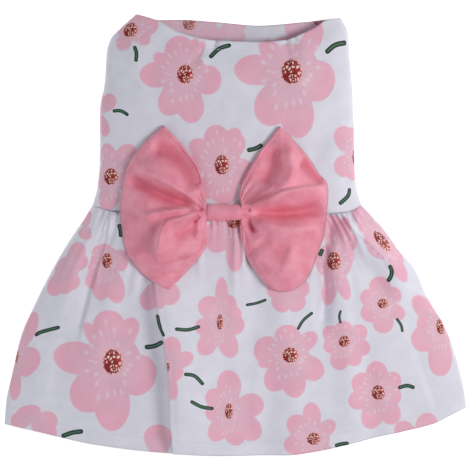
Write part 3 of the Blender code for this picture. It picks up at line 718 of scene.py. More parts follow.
def lay_print(mesh, x, y, extra, blossoms, stalks, over_from=None, over=()):
    """Stores the print's measures on a grid mesh: x, y and extra are arrays of rows by columns."""
    flat_x, flat_y = x + extra, y
    depth = np.full(x.shape, -FAR * MM)
    out = np.zeros(x.shape)
    corner = np.zeros(len(mesh.loops), np.int64)
    mesh.loops.foreach_get("vertex_index", corner)
    corner_x, corner_y = flat_x.reshape(-1)[corner], flat_y.reshape(-1)[corner]
    face_x = corner_x.reshape(-1, 4).mean(axis=1)
    face_y = corner_y.reshape(-1, 4).mean(axis=1)
    nearest = np.full(len(face_x), 1e9)
    middle_uv = np.full((len(corner), 2), FAR)
    for blossom in list(blossoms) + list(over):
        cx, cy = plan(blossom.px, blossom.py)
        cx = cx + nearest_extra(x, y, extra, cx, cy)
        allowed = np.ones(x.shape, bool)
        if over_from is not None:
            allowed = over_from if blossom in over else allowed
        for petal in blossom.petals:
            inside, along = petal_depth(flat_x - cx, flat_y - cy, petal)
            inside = np.where(allowed, inside, -FAR * MM)
            out = np.where(inside > depth, along, out)
            depth = np.maximum(depth, inside)
        reach = np.mean([petal[1] for petal in blossom.petals]) * PIXEL
        away = np.hypot(flat_x - cx, flat_y - cy)
        inside = np.where(allowed & (len(blossom.petals) > 4), BODY * reach - away, -FAR * MM)
        out = np.where(inside > depth, away / reach, out)
        depth = np.maximum(depth, inside)
        if blossom.wide > 0:
            away = np.hypot(face_x - cx, face_y - cy)
            face_allowed = allowed.reshape(-1)[corner.reshape(-1, 4)].all(axis=1)
            closer = (away < nearest) & face_allowed
            nearest = np.where(closer, away, nearest)
            chosen = np.repeat(closer, 4)
            cosine, sine = math.cos(math.radians(blossom.lean)), math.sin(math.radians(blossom.lean))
            dx, dy = corner_x - cx, corner_y - cy
            local_x = (dx * cosine + dy * sine) / (blossom.wide / 2 * PIXEL)
            local_y = (dy * cosine - dx * sine) / (blossom.high / 2 * PIXEL)
            middle_uv[chosen] = np.stack([local_x, local_y], axis=1)[chosen]
    stalk_uv = np.full((len(corner), 2), FAR)
    nearest = np.full(len(face_x), 1e9)
    for stalk in stalks:
        line = smooth_line(stalk.points, 9)
        line_x, line_y = plan(line[:, 0], line[:, 1])
        line_x = line_x + nearest_extra(x, y, extra, line_x[4], line_y[4])
        face_away, _, _ = along_line(line_x, line_y, face_x, face_y)
        chosen = np.repeat(face_away < nearest, 4)
        nearest = np.minimum(nearest, face_away)
        _, share, side = along_line(line_x, line_y, corner_x[chosen], corner_y[chosen])
        stalk_uv[chosen] = np.stack([2 * share - 1, side / (stalk.half * PIXEL)], axis=1)
    store_number(mesh, "petal_depth", np.maximum(depth, -9 * MM) / MM)
    store_number(mesh, "petal_out", np.clip(out, 0, 1))
    store_uv(mesh, "cloth", np.stack([corner_x, corner_y], axis=1) / MM)
    store_uv(mesh, "blossom", middle_uv)
    store_uv(mesh, "stalk", stalk_uv)


def along_line(line_x, line_y, x, y):
    """Distance to a line, the share along it (past 0 and 1 beyond its ends) and the signed side."""
    nearest = np.full(np.shape(x), 1e9)
    share = np.zeros(np.shape(x))
    side = np.zeros(np.shape(x))
    count = len(line_x) - 1
    for step in range(count):
        dx, dy = line_x[step + 1] - line_x[step], line_y[step + 1] - line_y[step]
        length = math.hypot(dx, dy)
        run = ((x - line_x[step]) * dx + (y - line_y[step]) * dy) / length**2
        held = np.clip(run, 0, 1)
        away = np.hypot(x - line_x[step] - held * dx, y - line_y[step] - held * dy)
        closer = away < nearest
        nearest = np.where(closer, away, nearest)
        low = -np.inf if step == 0 else 0
        high = np.inf if step == count - 1 else 1
        share = np.where(closer, (step + np.clip(run, low, high)) / count, share)
        beside = ((y - line_y[step]) * dx - (x - line_x[step]) * dy) / length
        side = np.where(closer, beside, side)
    return nearest, share, side


print("the print can be laid")

# %% [markdown]
# A material is a small chain of nodes. The helper below adds one node and joins it: an input is
# either a plain value or another node's output, so that a chain reads like a sentence.

# %% Adding nodes


def add(tree, kind, inputs=(), out=0, **settings):
    """One new node; its inputs are values or other nodes' outputs. Returns one of its outputs."""
    node = tree.nodes.new(kind)
    for name, value in settings.items():
        setattr(node, name, value)
    pairs = inputs.items() if isinstance(inputs, dict) else enumerate(inputs)
    for key, value in pairs:
        if isinstance(value, bpy.types.NodeSocket):
            tree.links.new(value, node.inputs[key])
        else:
            node.inputs[key].default_value = value
    return node.outputs[out]


def maths(tree, operation, *inputs):
    return add(tree, "ShaderNodeMath", inputs, operation=operation)


def fit(tree, value, low, high, to_low=0.0, to_high=1.0):
    """A value brought softly from one range to another."""
    inputs = (value, low, high, to_low, to_high)
    return add(tree, "ShaderNodeMapRange", inputs, interpolation_type="SMOOTHSTEP")


def blended(tree, share, first, second):
    """A colour between two colours."""
    inputs = {0: share, 6: first, 7: second}
    return add(tree, "ShaderNodeMix", inputs, out=2, data_type="RGBA")


def colour(red, green, blue):
    """A colour as it looks on a screen, from 0 to 255, turned into light for the shader."""
    shares = [value / 255 for value in (red, green, blue)]
    light = [s / 12.92 if s <= 0.04045 else ((s + 0.055) / 1.055) ** 2.4 for s in shares]
    return (*light, 1.0)


def new_material(name):
    material = bpy.data.materials.new(name)
    material.use_nodes = True
    shader = material.node_tree.nodes["Principled BSDF"]
    return material, material.node_tree, shader


print("white is", [round(v, 2) for v in colour(255, 255, 255)])

# %% [markdown]
# The dress's cloth is a thin smooth cotton in plain weave. Its threads are about a third of a
# millimetre apart: two sets of fine waves, crossing, give the bump. The print is mixed over the
# white cloth in the order a printer would lay it: petals, stamens, the beaded middle, stalks.

# %% Printed cloth
STAMENS = 23.0
CLOTH_WHITE = colour(232, 231, 242)
PETAL_INNER = colour(236, 188, 205)
PETAL_OUTER = colour(243, 182, 202)
STAMEN_PALE = colour(240, 216, 228)
BEAD_DARK = colour(140, 8, 16)
BEAD_BRIGHT = colour(188, 34, 34)
BEAD_GAP = colour(255, 214, 204)
STALK_GREEN = colour(66, 122, 90)
STALK_DARK = colour(10, 24, 20)


def printed_cloth(name, show_through=1.0, base=CLOTH_WHITE, thread_bump=0.25):
    material, tree, shader = new_material(name)
    place = add(tree, "ShaderNodeTexCoord", out=3)
    mottle = add(tree, "ShaderNodeTexNoise", {0: place, 2: 90.0, 3: 3.0})
    grain = add(tree, "ShaderNodeTexNoise", {0: place, 2: 900.0, 3: 2.0})

    depth = add(tree, "ShaderNodeAttribute", out=2, attribute_name="petal_depth")
    outward = add(tree, "ShaderNodeAttribute", out=2, attribute_name="petal_out")
    wobble = maths(tree, "MULTIPLY_ADD", mottle, 1.2, -0.6)
    edge = maths(tree, "ADD", depth, wobble)
    petal = fit(tree, edge, -0.35, 0.75, 0.0, show_through)
    tone = blended(tree, fit(tree, outward, 0.3, 0.85), PETAL_INNER, PETAL_OUTER)
    printed = blended(tree, petal, base, tone)

    local = add(tree, "ShaderNodeUVMap", uv_map="blossom")
    parts = tree.nodes.new("ShaderNodeSeparateXYZ")
    tree.links.new(local, parts.inputs[0])
    bx, by = parts.outputs[0], parts.outputs[1]
    radius = add(tree, "ShaderNodeVectorMath", (local,), out=1, operation="LENGTH")
    turn = maths(tree, "MULTIPLY", maths(tree, "ARCTAN2", by, bx), STAMENS / (2 * math.pi))
    number = maths(tree, "FLOOR", turn)
    aside = maths(tree, "SUBTRACT", maths(tree, "SUBTRACT", turn, number), 0.5)
    lateral = maths(tree, "MULTIPLY", maths(tree, "MULTIPLY", aside, radius), 2 * math.pi / STAMENS)
    random = add(tree, "ShaderNodeTexWhiteNoise", {1: number}, noise_dimensions="1D")
    length = maths(tree, "MULTIPLY_ADD", random, 2.0, 1.55)
    line = fit(tree, maths(tree, "ABSOLUTE", lateral), 0.14, 0.03)
    reaching = fit(tree, maths(tree, "SUBTRACT", length, radius), -0.1, 0.1, 0.0, 0.16)
    past = maths(tree, "MULTIPLY", maths(tree, "SUBTRACT", radius, length), 0.6)
    square = maths(tree, "ADD", maths(tree, "MULTIPLY", past, past), maths(tree, "MULTIPLY", lateral, lateral))
    dot = fit(tree, square, 0.055, 0.005, 0.0, 0.7)
    stamens = maths(tree, "MULTIPLY", maths(tree, "MAXIMUM", maths(tree, "MULTIPLY", line, reaching), dot), petal)
    printed = blended(tree, stamens, printed, STAMEN_PALE)

    halo = fit(tree, radius, 1.5, 1.0, 0.0, 0.35 * show_through)
    printed = blended(tree, halo, printed, colour(245, 190, 190))
    net = add(tree, "ShaderNodeTexVoronoi", {"Vector": local, "Scale": 3.0}, feature="DISTANCE_TO_EDGE")
    cells = tree.nodes.new("ShaderNodeTexVoronoi")
    cells.inputs["Scale"].default_value = 3.0
    tree.links.new(local, cells.inputs["Vector"])
    pick = add(tree, "ShaderNodeSeparateColor", {0: cells.outputs["Color"]})
    spot = maths(tree, "MULTIPLY", fit(tree, net, 0.13, 0.21), fit(tree, pick, 0.12, 0.24))
    side = fit(tree, bx, 0.0, 0.9)
    red = blended(tree, side, BEAD_DARK, BEAD_BRIGHT)
    middle = blended(tree, spot, red, BEAD_GAP)
    ragged = maths(tree, "ADD", radius, maths(tree, "MULTIPLY_ADD", grain, 0.5, -0.25))
    printed = blended(tree, fit(tree, ragged, 1.08, 0.94, 0.0, show_through), printed, middle)

    stem = add(tree, "ShaderNodeUVMap", uv_map="stalk")
    parts = tree.nodes.new("ShaderNodeSeparateXYZ")
    tree.links.new(stem, parts.inputs[0])
    end = maths(tree, "POWER", maths(tree, "ABSOLUTE", parts.outputs[0]), 14.0)
    width = maths(tree, "MULTIPLY", parts.outputs[1], parts.outputs[1])
    shape = maths(tree, "ADD", end, width)
    green = blended(tree, fit(tree, shape, -0.05, 0.30), STALK_GREEN, STALK_DARK)
    printed = blended(tree, fit(tree, shape, 1.25, 0.8, 0.0, show_through), printed, green)

    tint = fit(tree, mottle, 0.3, 0.7, 0.965, 1.02)
    tinted = add(tree, "ShaderNodeVectorMath", (printed, tint), operation="MULTIPLY")
    tree.links.new(tinted, shader.inputs["Base Color"])

    threads = add(tree, "ShaderNodeUVMap", uv_map="cloth")
    warp = add(tree, "ShaderNodeTexWave", {0: threads, 1: 0.9, 2: 0.6}, out=1, bands_direction="X")
    weft = add(tree, "ShaderNodeTexWave", {0: threads, 1: 0.9, 2: 0.6}, out=1, bands_direction="Y")
    weave = maths(tree, "ADD", maths(tree, "ADD", warp, weft), grain)
    bump = add(tree, "ShaderNodeBump", {"Strength": thread_bump, "Distance": 0.0001, "Height": weave})
    tree.links.new(bump, shader.inputs["Normal"])
    shader.inputs["Roughness"].default_value = 0.62
    shader.inputs["Sheen Weight"].default_value = 0.15
    shader.inputs["Sheen Roughness"].default_value = 0.4
    return material


right_side = printed_cloth("printed_cloth")
wrong_side = printed_cloth("wrong_side", show_through=0.8, base=colour(226, 226, 236))
print("printed cloth has", len(right_side.node_tree.nodes), "nodes")

# %% [markdown]
# ## The upper cloth of the bodice
#
# One soft panel over an unseen chest, scooped at the neck and turned down at both sides. It could be
# draped by simulation, but the photograph shows exactly how it lies, so its height is worked out from
# the tables and the charted creases, point by point.

# %% bodice_back
THICK = 0.6 * MM


def finish_sheet(piece, node):
    """Gives a sheet its thickness and its wrong side, parents it to the root empty and hides the solid that it
    stands for.
    """
    wall = piece.modifiers.new("Thickness", "SOLIDIFY")
    wall.thickness = THICK
    wall.offset = -1.0
    wall.material_offset = 1
    wall.material_offset_rim = 0
    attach(piece, "root")
    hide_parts(node)
    return piece


def measured(piece):
    """The area of a sheet before it gets its thickness, in square millimetres."""
    mesh = piece.data
    area = np.zeros(len(mesh.polygons))
    mesh.polygons.foreach_get("area", area)
    return round(float(area.sum()) / MM**2)


across, down = places_on(150, 112)
x, y = plan_of(back_neck_y, waist_y, bodice_sides, across, down)
z = bodice_height(across, down)
arch = fullness(across) * BODICE_PUFF
mesh = grid_mesh("bodice_back_cloth", np.stack([x, y, z], axis=-1))
lay_print(mesh, x, y, cloth_distance(x, arch), BODICE_BLOSSOMS, BODICE_STALKS)
mesh.materials.append(right_side)
mesh.materials.append(wrong_side)
bodice_back = piece_from("bodice_back_cloth", mesh)
print("bodice_back_cloth", measured(bodice_back), "mm2", len(mesh.polygons), "faces")
finish_sheet(bodice_back, "bodice_back")

# %% [markdown]
# ## The upper cloth of the skirt
#
# The same kind of panel, gathered at the top. At the large pleat the grid is pushed sideways so that
# the cloth really runs under itself and back, and its edge casts a true shadow.

# %% skirt_back
across, down = places_on(380, 122, 1.25, PLEAT_COLUMN)
follow = ease(1 - np.abs(across - PLEAT_COLUMN) / 0.6)
across = across + (pleat_across(down) - PLEAT_COLUMN) * follow
x, y = plan_of(waist_y, hem_y, skirt_sides, across, down)
z = skirt_height(across, down)
arch = fullness(across) * SKIRT_PUFF * 0.8
extra = cloth_distance(x, arch)
x = x + pleat_shift(across, down)
mesh = grid_mesh("skirt_back_cloth", np.stack([x, y, z], axis=-1))
over_pleat = across > pleat_across(down)
lay_print(mesh, x, y, extra, SKIRT_BLOSSOMS, SKIRT_STALKS, over_pleat, OVER_PLEAT)
mesh.materials.append(right_side)
mesh.materials.append(wrong_side)
skirt_back = piece_from("skirt_back_cloth", mesh)
print("skirt_back_cloth", measured(skirt_back), "mm2", len(mesh.polygons), "faces")
finish_sheet(skirt_back, "skirt_back")

# %% [markdown]
# ## The lower cloths
#
# The belly side lies flat on the table with its right side down. Its wrong side shows in the neck,
# where the print comes through from the back. The belly panel has two leg holes. The print repeats,
# so the charts of the upper cloth are used again, turned over.

# %% bodice_belly and skirt_belly
LEG_HOLE = (38.0 * MM, 50.0 * MM)
LEG_SPACING = 84.0 * MM
LEG_DOWN = 64.0 * MM


def turned_over(blossoms, shift=0.0):
    """The same blossoms on cloth that is seen from its wrong side."""
    made = []
    for blossom in blossoms:
        petals = [(180 - turn, reach, half) for turn, reach, half in blossom.petals]
        made.append(blossom._replace(px=2 * MIDDLE_PX[0] - 17 - blossom.px + shift, petals=petals))
    return made


def turned_stalks(stalks):
    """The same stalks on cloth that is seen from its wrong side."""
    made = []
    for stalk in stalks:
        points = [(2 * MIDDLE_PX[0] - 17 - px, py) for px, py in stalk.points]
        made.append(stalk._replace(points=points))
    return made


def belly_sheet(name, node, grid, top, bottom, sides, blossoms, stalks, holes=()):
    across, down = places_on(*grid)
    x, y = plan_of(top, bottom, sides, across, down)
    keep = None
    if holes:
        keep = np.ones((grid[1], grid[0]), bool)
        middle_x = (x[:-1, :-1] + x[1:, 1:]) / 2
        middle_y = (y[:-1, :-1] + y[1:, 1:]) / 2
        for hole_x, hole_y in holes:
            away = np.hypot((middle_x - hole_x) / LEG_HOLE[0] * 2, (middle_y - hole_y) / LEG_HOLE[1] * 2)
            keep &= away > 1
        rim = np.zeros(x.shape, bool)
        gone = ~keep
        for rows, columns in ((slice(0, -1), slice(0, -1)), (slice(1, None), slice(0, -1)),
                              (slice(0, -1), slice(1, None)), (slice(1, None), slice(1, None))):
            rim[rows, columns] |= gone
        kept = np.zeros(x.shape, bool)
        for rows, columns in ((slice(0, -1), slice(0, -1)), (slice(1, None), slice(0, -1)),
                              (slice(0, -1), slice(1, None)), (slice(1, None), slice(1, None))):
            kept[rows, columns] |= keep
        for hole_x, hole_y in holes:
            dx, dy = (x - hole_x) / LEG_HOLE[0] * 2, (y - hole_y) / LEG_HOLE[1] * 2
            away = np.hypot(dx, dy)
            near = rim & kept & (away < 1.4)
            x = np.where(near, hole_x + dx / np.maximum(away, 0.1) * LEG_HOLE[0] / 2, x)
            y = np.where(near, hole_y + dy / np.maximum(away, 0.1) * LEG_HOLE[1] / 2, y)
    z = np.full(x.shape, THICK) + 0.25 * MM * (1 + wrinkles(x, y, 21, 30 * MM)) * fullness(across)
    mesh = grid_mesh(name, np.stack([x, y, z], axis=-1), keep)
    lay_print(mesh, x, y, np.zeros(x.shape), blossoms, stalks)
    loose = bmesh.new()
    loose.from_mesh(mesh)
    bmesh.ops.delete(loose, geom=[v for v in loose.verts if not v.link_faces], context="VERTS")
    loose.to_mesh(mesh)
    loose.free()
    mesh.materials.append(wrong_side)
    mesh.materials.append(right_side)
    piece = piece_from(name, mesh)
    print(name, measured(piece), "mm2", len(mesh.polygons), "faces")
    return finish_sheet(piece, node)


BELLY_BLOSSOMS = [
    Blossom(189, 22, 13, 14, ring(-40, 38, 14)),
    Blossom(319.5, 19, 12, 10, ring(200, 36, 13)),
    Blossom(234, 30, 0, 0, ring(60, 14, 8, 3)),
] + turned_over(BODICE_BLOSSOMS[:2], 10)
for blossom in turned_over(BODICE_BLOSSOMS[3:5]):
    BELLY_BLOSSOMS.append(blossom)
hole_places = [
    (BODICE_SHIFT - LEG_SPACING / 2, WAIST_PLACE + BODICE_LENGTH - LEG_DOWN),
    (BODICE_SHIFT + LEG_SPACING / 2, WAIST_PLACE + BODICE_LENGTH - LEG_DOWN),
]
belly_sheet("bodice_belly_cloth", "bodice_belly", (110, 80), belly_neck_y, waist_y, bodice_sides,
            BELLY_BLOSSOMS, turned_stalks(BODICE_STALKS[3:]), hole_places)
belly_sheet("skirt_belly_cloth", "skirt_belly", (170, 90), waist_y, belly_hem_y, skirt_sides,
            turned_over(SKIRT_BLOSSOMS), turned_stalks(SKIRT_STALKS))

# %% [markdown]
# ## The bow
#
# The bow is one piece of doubled satin, gathered in the middle so that two wings stand off it. Its
# wings are drawn by their three edges in the photograph (top, outer and bottom) and filled between
# them. Each has an upper and a lower skin joined round the rim, like a thin pillow, and the charted
# creases fold the upper skin.

# %% The edges of the two wings
Wing = namedtuple("Wing", "top outer bottom creases")
LEFT_WING = Wing(
    [(207, 206), (205, 193.5), (199, 169), (184, 146.4), (163.5, 125.5)],
    [(163.5, 125.5), (144, 143), (127, 168), (121, 200), (121, 220), (125.7, 249.7), (137, 268),
     (151, 280.7), (169, 290)],
    [(207, 219), (206.5, 233), (205, 250), (184, 275), (169, 290)],
    [
        Crease([(150, 147), (178, 160), (199, 190)], 10.0, 10.0, -2.8),
        Crease([(135, 164), (169, 184), (200, 203)], 9.0, 6.5, 2.8),
        Crease([(128, 178), (166, 196), (196, 207)], 9.0, 6.0, -3.4),
        Crease([(139.5, 217.6), (154, 213), (192, 208)], 1.6, 7.0, 3.6),
        Crease([(203, 210.5), (184, 217.6), (167, 223), (161, 235), (158, 251), (153, 255)], 8.0, 2.2, 4.5),
        Crease([(197, 221), (184, 229), (176, 236)], 7.0, 7.0, -2.0),
        Crease([(199.5, 215.5), (194.6, 223)], 1.5, 1.5, -2.0),
        Crease([(205.5, 212), (199, 227), (196, 240)], 5.0, 3.5, 1.8),
        Crease([(126, 248), (154, 265), (182, 261), (200, 253)], 6.0, 6.0, 2.2),
        Crease([(207, 208), (203, 209), (198, 211)], 1.8, 1.8, -2.2),
    ],
)
RIGHT_WING = Wing(
    [(241, 206), (240, 193.5), (244.5, 177.4), (259.4, 152), (279.5, 126.3)],
    [(279.5, 126.3), (293.9, 140.7), (308.8, 157.9), (319, 174), (327, 183), (328, 200), (323.7, 234.8),
     (320, 246), (312, 269), (304, 282), (292, 290), (280, 292)],
    [(241, 219), (240.5, 230), (245.7, 255.5), (257, 273.8), (267.5, 286.5), (280, 292)],
    [
        Crease([(270, 146), (272, 166), (262, 188)], 9.0, 9.0, -2.2),
        Crease([(287, 142), (292, 168), (286, 184), (262, 198)], 8.0, 7.0, 2.0),
        Crease([(298, 162), (311, 171), (323, 181)], 7.0, 7.0, -3.2),
        Crease([(244.5, 208), (265, 200), (289, 191), (326, 186)], 1.6, 7.0, 4.2),
        Crease([(256, 197), (268, 190), (274, 184)], 2.4, 2.4, 1.0),
        Crease([(248, 208.5), (275, 214), (300, 212), (324, 207)], 8.0, 8.0, -3.4),
        Crease([(250, 217), (280, 227), (321, 229)], 7.0, 7.0, 2.6),
        Crease([(242, 209.5), (248, 219), (256, 233)], 1.8, 4.0, -2.6),
        Crease([(260, 236), (272, 246), (290, 252)], 8.0, 9.0, -1.3),
        Crease([(250, 252), (275, 270), (302, 266)], 12.0, 11.0, 2.0),
        Crease([(241, 208.5), (246, 209.5), (251, 211.5)], 1.8, 1.8, -2.2),
    ],
)
print("wings", len(LEFT_WING.creases) + len(RIGHT_WING.creases), "creases")

# %% The bow's two skins
WING_COLUMNS = 84
WING_ROWS = 130
NECK_THICK = 6.5 * MM
BOW_REST = 1.8 * MM
BOW_DOME = 8.0 * MM
RIM_ROUND = 3.4 * MM
RIM_HEIGHT = 3.6 * MM
band_low, band_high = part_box("bow_band")
BAND_MIDDLE = ((band_low + band_high) / 2)


def plain_bodice(across, down):
    return CLOTH + fullness(across) * mix(BODICE_PUFF * bodice_puff(down), WAIST_PUFF, bodice_waist(down))


def plain_skirt(across, down):
    return CLOTH + fullness(across) * (WAIST_PUFF * skirt_waist(down) + SKIRT_PUFF * skirt_puff(down))


def cloth_top(x, y, heights_of=(bodice_height, skirt_height)):
    """The height of the dress's upper cloth, found by closing in on its two shares."""
    heights = []
    downs = []
    for top, bottom, sides, height in (
        (back_neck_y, waist_y, bodice_sides, heights_of[0]),
        (waist_y, hem_y, skirt_sides, heights_of[1]),
    ):
        across = np.zeros(np.shape(x))
        down = np.full(np.shape(x), 0.5)
        for _ in range(8):
            left, right = sides(down)
            across = np.clip((2 * x - left - right) / (right - left), -1, 1)
            down = (y - top(across)) / (bottom(across) - top(across))
        heights.append(height(across, np.clip(down, 0, 1)))
        downs.append(down)
    return np.where(downs[0] <= 1, heights[0], heights[1])


def filled(wing, u, v):
    """The plan of a wing between its edges: u runs out from the neck, v from top to bottom."""
    top = smooth_line(wing.top, 200)
    outer = smooth_line(wing.outer, 200)
    bottom = smooth_line(wing.bottom, 200)
    neck = np.linspace(top[0], bottom[0], 200)

    def read(line, share):
        at = share * 199
        return np.stack([np.interp(at, np.arange(200), line[:, axis]) for axis in (0, 1)], axis=-1)

    u2, v2 = u[..., None], v[..., None]
    corners = (1 - u2) * ((1 - v2) * top[0] + v2 * bottom[0]) + u2 * ((1 - v2) * top[-1] + v2 * bottom[-1])
    sides = (1 - v2) * read(top, u) + v2 * read(bottom, u)
    ends = (1 - u2) * read(neck, v) + u2 * read(outer, v)
    return sides + ends - corners


def rim_distance(wing, px, py):
    """The distance to the wing's rim, in metres."""
    rim = np.vstack([smooth_line(line, 60) for line in (wing.top, wing.outer, wing.bottom[::-1])])
    line_x, line_y = plan(rim[:, 0], rim[:, 1])
    x, y = plan(px, py)
    nearest = np.full(np.shape(px), 1e9)
    for ax, ay, bx, by in zip(line_x, line_y, line_x[1:], line_y[1:]):
        dx, dy = bx - ax, by - ay
        share = np.clip(((x - ax) * dx + (y - ay) * dy) / max(dx * dx + dy * dy, 1e-12), 0, 1)
        nearest = np.minimum(nearest, np.hypot(x - ax - share * dx, y - ay - share * dy))
    return nearest


def wing_skins(wing):
    """The upper and lower skin of one wing, from the neck outwards."""
    u = np.linspace(0, 1, WING_COLUMNS + 1)
    u = u + 0.11 * np.sin(2 * math.pi * u) * (u > 0.5)
    v = np.linspace(0, 1, WING_ROWS + 1)
    v = v - 0.09 * np.sin(2 * math.pi * v)
    u, v = np.meshgrid(u, v, indexing="ij")
    place = filled(wing, u, v)
    px, py = place[..., 0], place[..., 1]
    x, y = plan(px, py)
    around = ((0, 0), (9 * MM, 0), (-9 * MM, 0), (0, 9 * MM), (0, -9 * MM))
    plain = sum(cloth_top(x + dx, y + dy, (plain_bodice, plain_skirt)) for dx, dy in around) / 5
    rest = plain + BOW_REST
    edge = rim_distance(wing, px, py)
    round_edge = np.sqrt(np.maximum(1 - (1 - np.clip(edge / RIM_ROUND, 0, 1)) ** 2, 0))
    seam = 0.5 * MM * np.exp(-(((edge - 2.9 * MM) / (0.45 * MM)) ** 2))
    dome = BOW_DOME * ease(edge / (22 * MM)) * ease(u / 0.25)
    folds = 2.6 * crease_height(wing.creases, px, py, 1.35) * ease(edge / (3 * MM)) * ease(u / 0.06)
    rays = 1.5 * MM * np.cos(2 * math.pi * (7.5 * v + 0.6 * np.sin(5 * v))) * ease(u / 0.05) * np.exp(-((u / 0.26) ** 2))
    skin = RIM_HEIGHT * round_edge + dome + folds + rays - seam
    skin = np.maximum(skin, 0.9 * MM * round_edge)
    t = 2 * v - 1
    bundle = NECK_THICK / 2 * np.sqrt(np.maximum(1 - t**2, 0))
    lift = ease(u / 0.34)
    upper = mix(BAND_MIDDLE.z + bundle, rest + skin, lift)
    lower = mix(BAND_MIDDLE.z - bundle, rest, lift)
    for dx, dy in ((0, 0), (2 * MM, 0), (-2 * MM, 0), (0, 2 * MM), (0, -2 * MM)):
        lower = np.maximum(lower, cloth_top(x + dx, y + dy) + 0.4 * MM)
    on_rim = (v <= 0) | (v >= 1) | (u >= 1)
    both = (upper + lower) / 2
    upper = np.where(on_rim, both, np.maximum(upper, lower + 0.3 * MM))
    lower = np.where(on_rim, both, lower)
    return np.stack([x, y, upper], axis=-1), np.stack([x, y, lower], axis=-1), (folds + rays) / MM


left_upper, left_lower, left_fold = wing_skins(LEFT_WING)
right_upper, right_lower, right_fold = wing_skins(RIGHT_WING)
neck_steps = np.linspace(0, 1, 12)[1:-1, None, None]
upper = np.concatenate([left_upper[::-1], mix(left_upper[:1], right_upper[:1], neck_steps), right_upper])
lower = np.concatenate([left_lower[::-1], mix(left_lower[:1], right_lower[:1], neck_steps), right_lower])
fold = np.concatenate([left_fold[::-1], mix(left_fold[:1], right_fold[:1], neck_steps[:, :, 0]), right_fold])
print("bow skins", upper.shape[:2], "highest", round(float(upper[..., 2].max()) / MM, 1), "mm")

# %% [markdown]
# Satin has a low sheen and a very fine weave. Its colour is painted darker in the hollows of the folds,
# a painted shade read from each point's fold height, and the sheen turns it paler and warmer where light grazes
# it.

# %% Bow satin
SATIN_PINK = colour(252, 168, 188)
SATIN_DEEP = colour(238, 140, 161)
# The third pink is painted shade, mixed in where the folds dip into hollows.
SATIN_PAINTED_SHADE = colour(224, 106, 128)


def bow_satin(name, base=SATIN_PINK, deep=SATIN_DEEP):
    material, tree, shader = new_material(name)
    place = add(tree, "ShaderNodeTexCoord", out=3)
    mottle = add(tree, "ShaderNodeTexNoise", {0: place, 2: 110.0, 3: 4.0})
    grain = add(tree, "ShaderNodeTexNoise", {0: place, 2: 1400.0, 3: 2.0})
    share = fit(tree, maths(tree, "MULTIPLY_ADD", grain, 0.35, mottle), 0.4, 0.95)
    fold = add(tree, "ShaderNodeAttribute", out=2, attribute_name="fold_height")
    # Painted shade: the deeper a fold's hollow, the more of the dark pink goes into the colour.
    satin = blended(tree, fit(tree, fold, -0.4, -8.0, 0.0, 0.75), blended(tree, share, base, deep), SATIN_PAINTED_SHADE)
    tree.links.new(satin, shader.inputs["Base Color"])
    threads = add(tree, "ShaderNodeUVMap", uv_map="cloth")
    warp = add(tree, "ShaderNodeTexWave", {0: threads, 1: 1.1, 2: 0.8}, out=1, bands_direction="X")
    weft = add(tree, "ShaderNodeTexWave", {0: threads, 1: 1.1, 2: 0.8}, out=1, bands_direction="Y")
    weave = maths(tree, "ADD", maths(tree, "ADD", warp, weft), grain)
    bump = add(tree, "ShaderNodeBump", {"Strength": 0.3, "Distance": 0.0001, "Height": weave})
    tree.links.new(bump, shader.inputs["Normal"])
    shader.inputs["Roughness"].default_value = 0.5
    shader.inputs["Sheen Weight"].default_value = 0.35
    shader.inputs["Sheen Roughness"].default_value = 0.35
    return material


satin = bow_satin("bow_satin")
print("satin has", len(satin.node_tree.nodes), "nodes")

# %% bow_cloth


def closed_skins(name, upper, lower, fold):
    """One closed mesh from an upper and a lower skin that meet round their rim."""
    rows, columns = upper.shape[:2]
    index = np.arange(rows * columns).reshape(rows, columns)
    border = np.zeros((rows, columns), bool)
    border[[0, -1], :] = True
    border[:, [0, -1]] = True
    under = np.where(border, index, index + rows * columns)
    faces = []
    for grid, turned in ((index, True), (under, False)):
        corners = [grid[:-1, :-1], grid[1:, :-1], grid[1:, 1:], grid[:-1, 1:]]
        quads = np.stack(corners, axis=-1).reshape(-1, 4)
        faces.append(quads[:, ::-1] if turned else quads)
    points = np.concatenate([upper.reshape(-1, 3), lower.reshape(-1, 3)])
    mesh = bpy.data.meshes.new(name)
    mesh.from_pydata(points.tolist(), [], np.concatenate(faces).tolist())
    # The fold heights are kept on the upper skin so that the satin can paint shade into the hollows.
    store_number(mesh, "fold_height", np.concatenate([fold.reshape(-1), np.zeros(fold.size)]))
    form = bmesh.new()
    form.from_mesh(mesh)
    bmesh.ops.delete(form, geom=[v for v in form.verts if not v.link_faces], context="VERTS")
    bmesh.ops.recalc_face_normals(form, faces=form.faces)
    form.to_mesh(mesh)
    form.free()
    mesh.shade_smooth()
    corner = np.zeros(len(mesh.loops), np.int64)
    mesh.loops.foreach_get("vertex_index", corner)
    co = np.zeros(len(mesh.vertices) * 3, np.float32)
    mesh.vertices.foreach_get("co", co)
    store_uv(mesh, "cloth", co.reshape(-1, 3)[corner][:, :2] / MM)
    return mesh


mesh = closed_skins("bow_cloth_satin", upper, lower, fold)
mesh.materials.append(satin)
bow = piece_from("bow_cloth_satin", mesh)
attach(bow, "root")
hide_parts("bow_cloth")
print("bow_cloth_satin", measured(bow) / 2, "mm2 a side", len(mesh.polygons), "faces")

# %% [markdown]
# The band is a strip of the same satin wrapped round the pinched middle. Its turns show as soft
# pleats along it, and its edges bulge a little because the strip is rolled.

